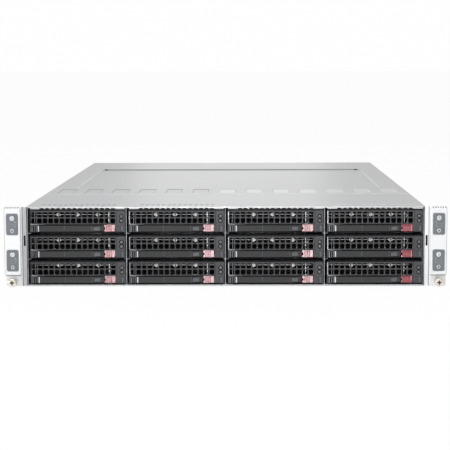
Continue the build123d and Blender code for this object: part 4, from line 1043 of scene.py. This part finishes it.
def sled_board(sled):
    """The board with coolers, memory, chips and plugs."""
    sled.start_y = 0
    sled.block(2, SLED_W - 2, 0, 451.2, 6, 7.6, board_green, 0.15)
    for x in (4.5, SLED_W - 4.5):
        for y in (56.5, 367.7):
            sled.turned([(2.4, 1), (2.4, 6)], "z", x, y, contact_gold, 6)
            sled.turned([(2.6, 7.55), (2.6, 8.6), (2, 9.1), (0, 9.1)], "z", x, y, steel_screw, 16)
    x = (SLED_W - COOLER_W) / 2
    for y in (54, 182):
        sled.block(x, x + COOLER_W, y, y + 108, 7.6, 12, drive_metal, 0.4)
        for k in range(FINS):
            fin_x = x + 0.9 + FIN_PITCH * k
            sled.block(fin_x, fin_x + 0.8, y + 1, y + 107, 12, 32.6, drive_metal, 0.1)
        for sx, sy in ((6, 6), (72, 6), (6, 102), (72, 102)):
            sled.turned([(3.6, 12), (3.6, 33), (2.9, 33.6), (0, 33.6)], "z", x + sx, y + sy, steel_screw, 16)
    for x, y in [(7 + 9 * k, 54) for k in range(4)] + [(SLED_W - 10 - 9 * k, 108) for k in range(4)]:
        sled.block(x, x + 3, y, y + 133.4, 7.6, 12.6, lever_black, 0.2)
        sled.block(x + 0.9, x + 2.1, y + 1.2, y + 132.2, 12, 36.4, board_green, 0.1)
        for chip in range(9):
            chip_y = y + 5 + chip * 13.8
            sled.block(x + 0.1, x + 2.9, chip_y, chip_y + 9.5, 16.5, 27.5, lever_black, 0.15)
        for end in (y, y + 130.4):
            sled.block(x, x + 3, end, end + 3, 12.4, 24, mark_faint, 0.4)
    sled.block(44.8, 132.8, -8, 0, 4, 12.6, lever_black, 0.4)
    sled.block(44.8, 132.8, 0, 5, 7.6, 12.6, lever_black, 0.3)
    for k in range(20):
        sled.block(47.5 + 4.2 * k, 49.7 + 4.2 * k, -7.95, -7, 6.4, 10.4, contact_gold, 0.1)
    chance = random.Random(11)
    for x, y, wide, deep, tall in ((66, 318, 34, 34, 3.2), (118, 330, 22, 22, 2.4), (24, 330, 18, 18, 2),
            (30, 392, 26, 14, 4.5), (96, 388, 14, 14, 1.8), (140, 396, 16, 20, 2.2)):
        sled.block(x, x + wide, y, y + deep, 7.55, 7.6 + tall, lever_black, 0.3)
    sled.turned([(10, 7.6), (10, 10.4), (9.4, 10.9), (0, 10.9)], "z", 150, 300, bright_steel_and_highlight, 32)
    for k in range(26):
        x = chance.uniform(8, 168)
        y = chance.choice((chance.uniform(12, 46), chance.uniform(296, 312), chance.uniform(358, 384),
            chance.uniform(416, 446)))
        radius = chance.choice((2, 3, 4))
        sled.turned([(radius, 7.6), (radius, 7.6 + 2.2 * radius), (radius - 0.4, 7.9 + 2.2 * radius),
            (0, 7.9 + 2.2 * radius)], "z", x, y, bright_steel_and_highlight if radius > 2 else lever_black, 14)
    for k in range(60):
        x = chance.uniform(6, 168)
        y = chance.choice((chance.uniform(6, 50), chance.uniform(294, 446)))
        sled.block(x, x + chance.uniform(1.5, 4), y, y + chance.uniform(1, 2.5), 7.55, 8.6, mark_faint, 0.1)


sled = Maker()
sled_sheet(sled)
sled_ports(sled)
sled_board(sled)
sled_mesh = sled.mesh("node_sled_body")
for number, (x, z) in enumerate(((-216.3, 1.3), (38.65, 1.3), (-216.3, 43.9), (38.65, 43.9)), 1):
    place(f"sled_{number}_body", sled_mesh, f"sled_{number}", [f"node_sled_{number}"], (x, SLED_Y, z))
print("sled mesh:", len(sled_mesh.vertices), "points")

# %% [markdown]
# The power supplies are closed cases between the sleds. The rear end has long vents, a three-pin inlet in a deep
# black well, a pull handle and a red latch tab. No cord is plugged in.

# %% The power supply
SUPPLY_HALF = 36.75
SUPPLY_D = 265
supply = Maker()
for z in (0, 39.3):
    supply.block(-SUPPLY_HALF, SUPPLY_HALF, 0, 262.2, z, z + 0.9, zinc, 0.2)
for x in (-SUPPLY_HALF, SUPPLY_HALF - 0.9):
    supply.block(x, x + 0.9, 0, 262.2, 0.3, 39.9, zinc, 0.2)
holes = [circle(-30 + 7.5 * k, 6 + 7 * row, 2.8, 6) for k in range(9) for row in range(5)]
supply.plate(rect(-36.2, 36.2, 0.5, 39.7), holes, "y", 0.3, 1.3, zinc, 0.1)
# the near-black box inside the case is painted shade behind the holes
supply.block(-35.9, 35.9, 8, 246, 0.9, 39.3, painted_shade_black, 0.2)
vents = [rounded(-33.55 + 6.4 * k, -30.35 + 6.4 * k, z, z + 8.4, 1.5, 4) for k in range(5)
    for z in (6.1, 15.9, 25.7)]
inlet = [(4.6, 13.5), (7.8, 10.4), (28.3, 10.4), (31.5, 13.5), (31.5, 29.8), (4.6, 29.8)]
supply.plate(rounded(-SUPPLY_HALF, SUPPLY_HALF, 0, 40.2, 0.8, 3), vents + [inlet], "y", SUPPLY_D, 262, zinc, 0.2)
supply.plate(inlet, [grown(inlet, -1.6)], "y", 264.9, 250.5, lever_black, 0.3)
supply.block(4.4, 31.7, 248.5, 250.8, 10.2, 30, lever_black, 0.3)
for x, z in ((11, 18.2), (18.05, 22.2), (25.1, 18.2)):
    supply.block(x - 1, x + 1, 250.6, 261, z - 2, z + 2, screw_nickel, 0.3)
# the near-black sheet behind the vents is painted shade
supply.block(-35.5, 3, 247, 248.5, 2, 38, painted_shade_black, 0.2)
supply.drawn(handle_outline(30, -20.15, SUPPLY_D), "z", 15.6, 24.6, lever_black, 1.2)
supply.block(-5.65, 2.35, 264.9, 277, 1, 3.4, release_red, 0.5)
supply.block(-5.65, 2.35, 274.4, 277, 1, 15, release_red, 0.6)
for k in range(3):
    supply.block(-5, 1.7, 276.5, 277, 6 + 3 * k, 7.2 + 3 * k, release_red, 0.15)
supply.turned([(0, 264.9), (1.3, 265.25), (1.6, 265), (1.6, 264.5)], "y", 6.5, 34.8, key_white, 16)
for x, z in ((33.9, 2.8), (33.9, 37.4), (-34.2, 2.8), (-34.2, 37.4)):
    screw_head(supply, "y", x, z, 264.95, 1, 1.8)
supply_mesh = supply.mesh("power_supply_body")
for number, z in ((1, 1.3), (2, 43.9)):
    place(f"supply_{number}_body", supply_mesh, f"supply_{number}", [f"power_supply_{number}"],
        (0, REAR - SUPPLY_D, z))
print("supply mesh:", len(supply_mesh.vertices), "points")

# %% [markdown]
# The remaining CAD nodes keep their own shape and only get a finish. Their mesh has no material of ours yet,
# so each one's slots are filled by the slot name that the record gives it.

# %% Finishes for the carried-over nodes
by_slot = {"zinc_steel": zinc, "cover_steel": cover_steel, "ear_silver": ear_silver, "panel_grey": panel_grey,
    "screw_nickel": screw_nickel, "tray_black": tray_black, "lever_black": lever_black, "release_red": release_red,
    "key_white": key_white, "key_grey": key_white, "circuit_board": board_green, "fan_plastic": lever_black}
for part in frame["record"]["subparts"]:
    thing = nodes[part["node"]]
    thing.data.materials.clear()
    thing.data.materials.append(by_slot[part["material_slot"]])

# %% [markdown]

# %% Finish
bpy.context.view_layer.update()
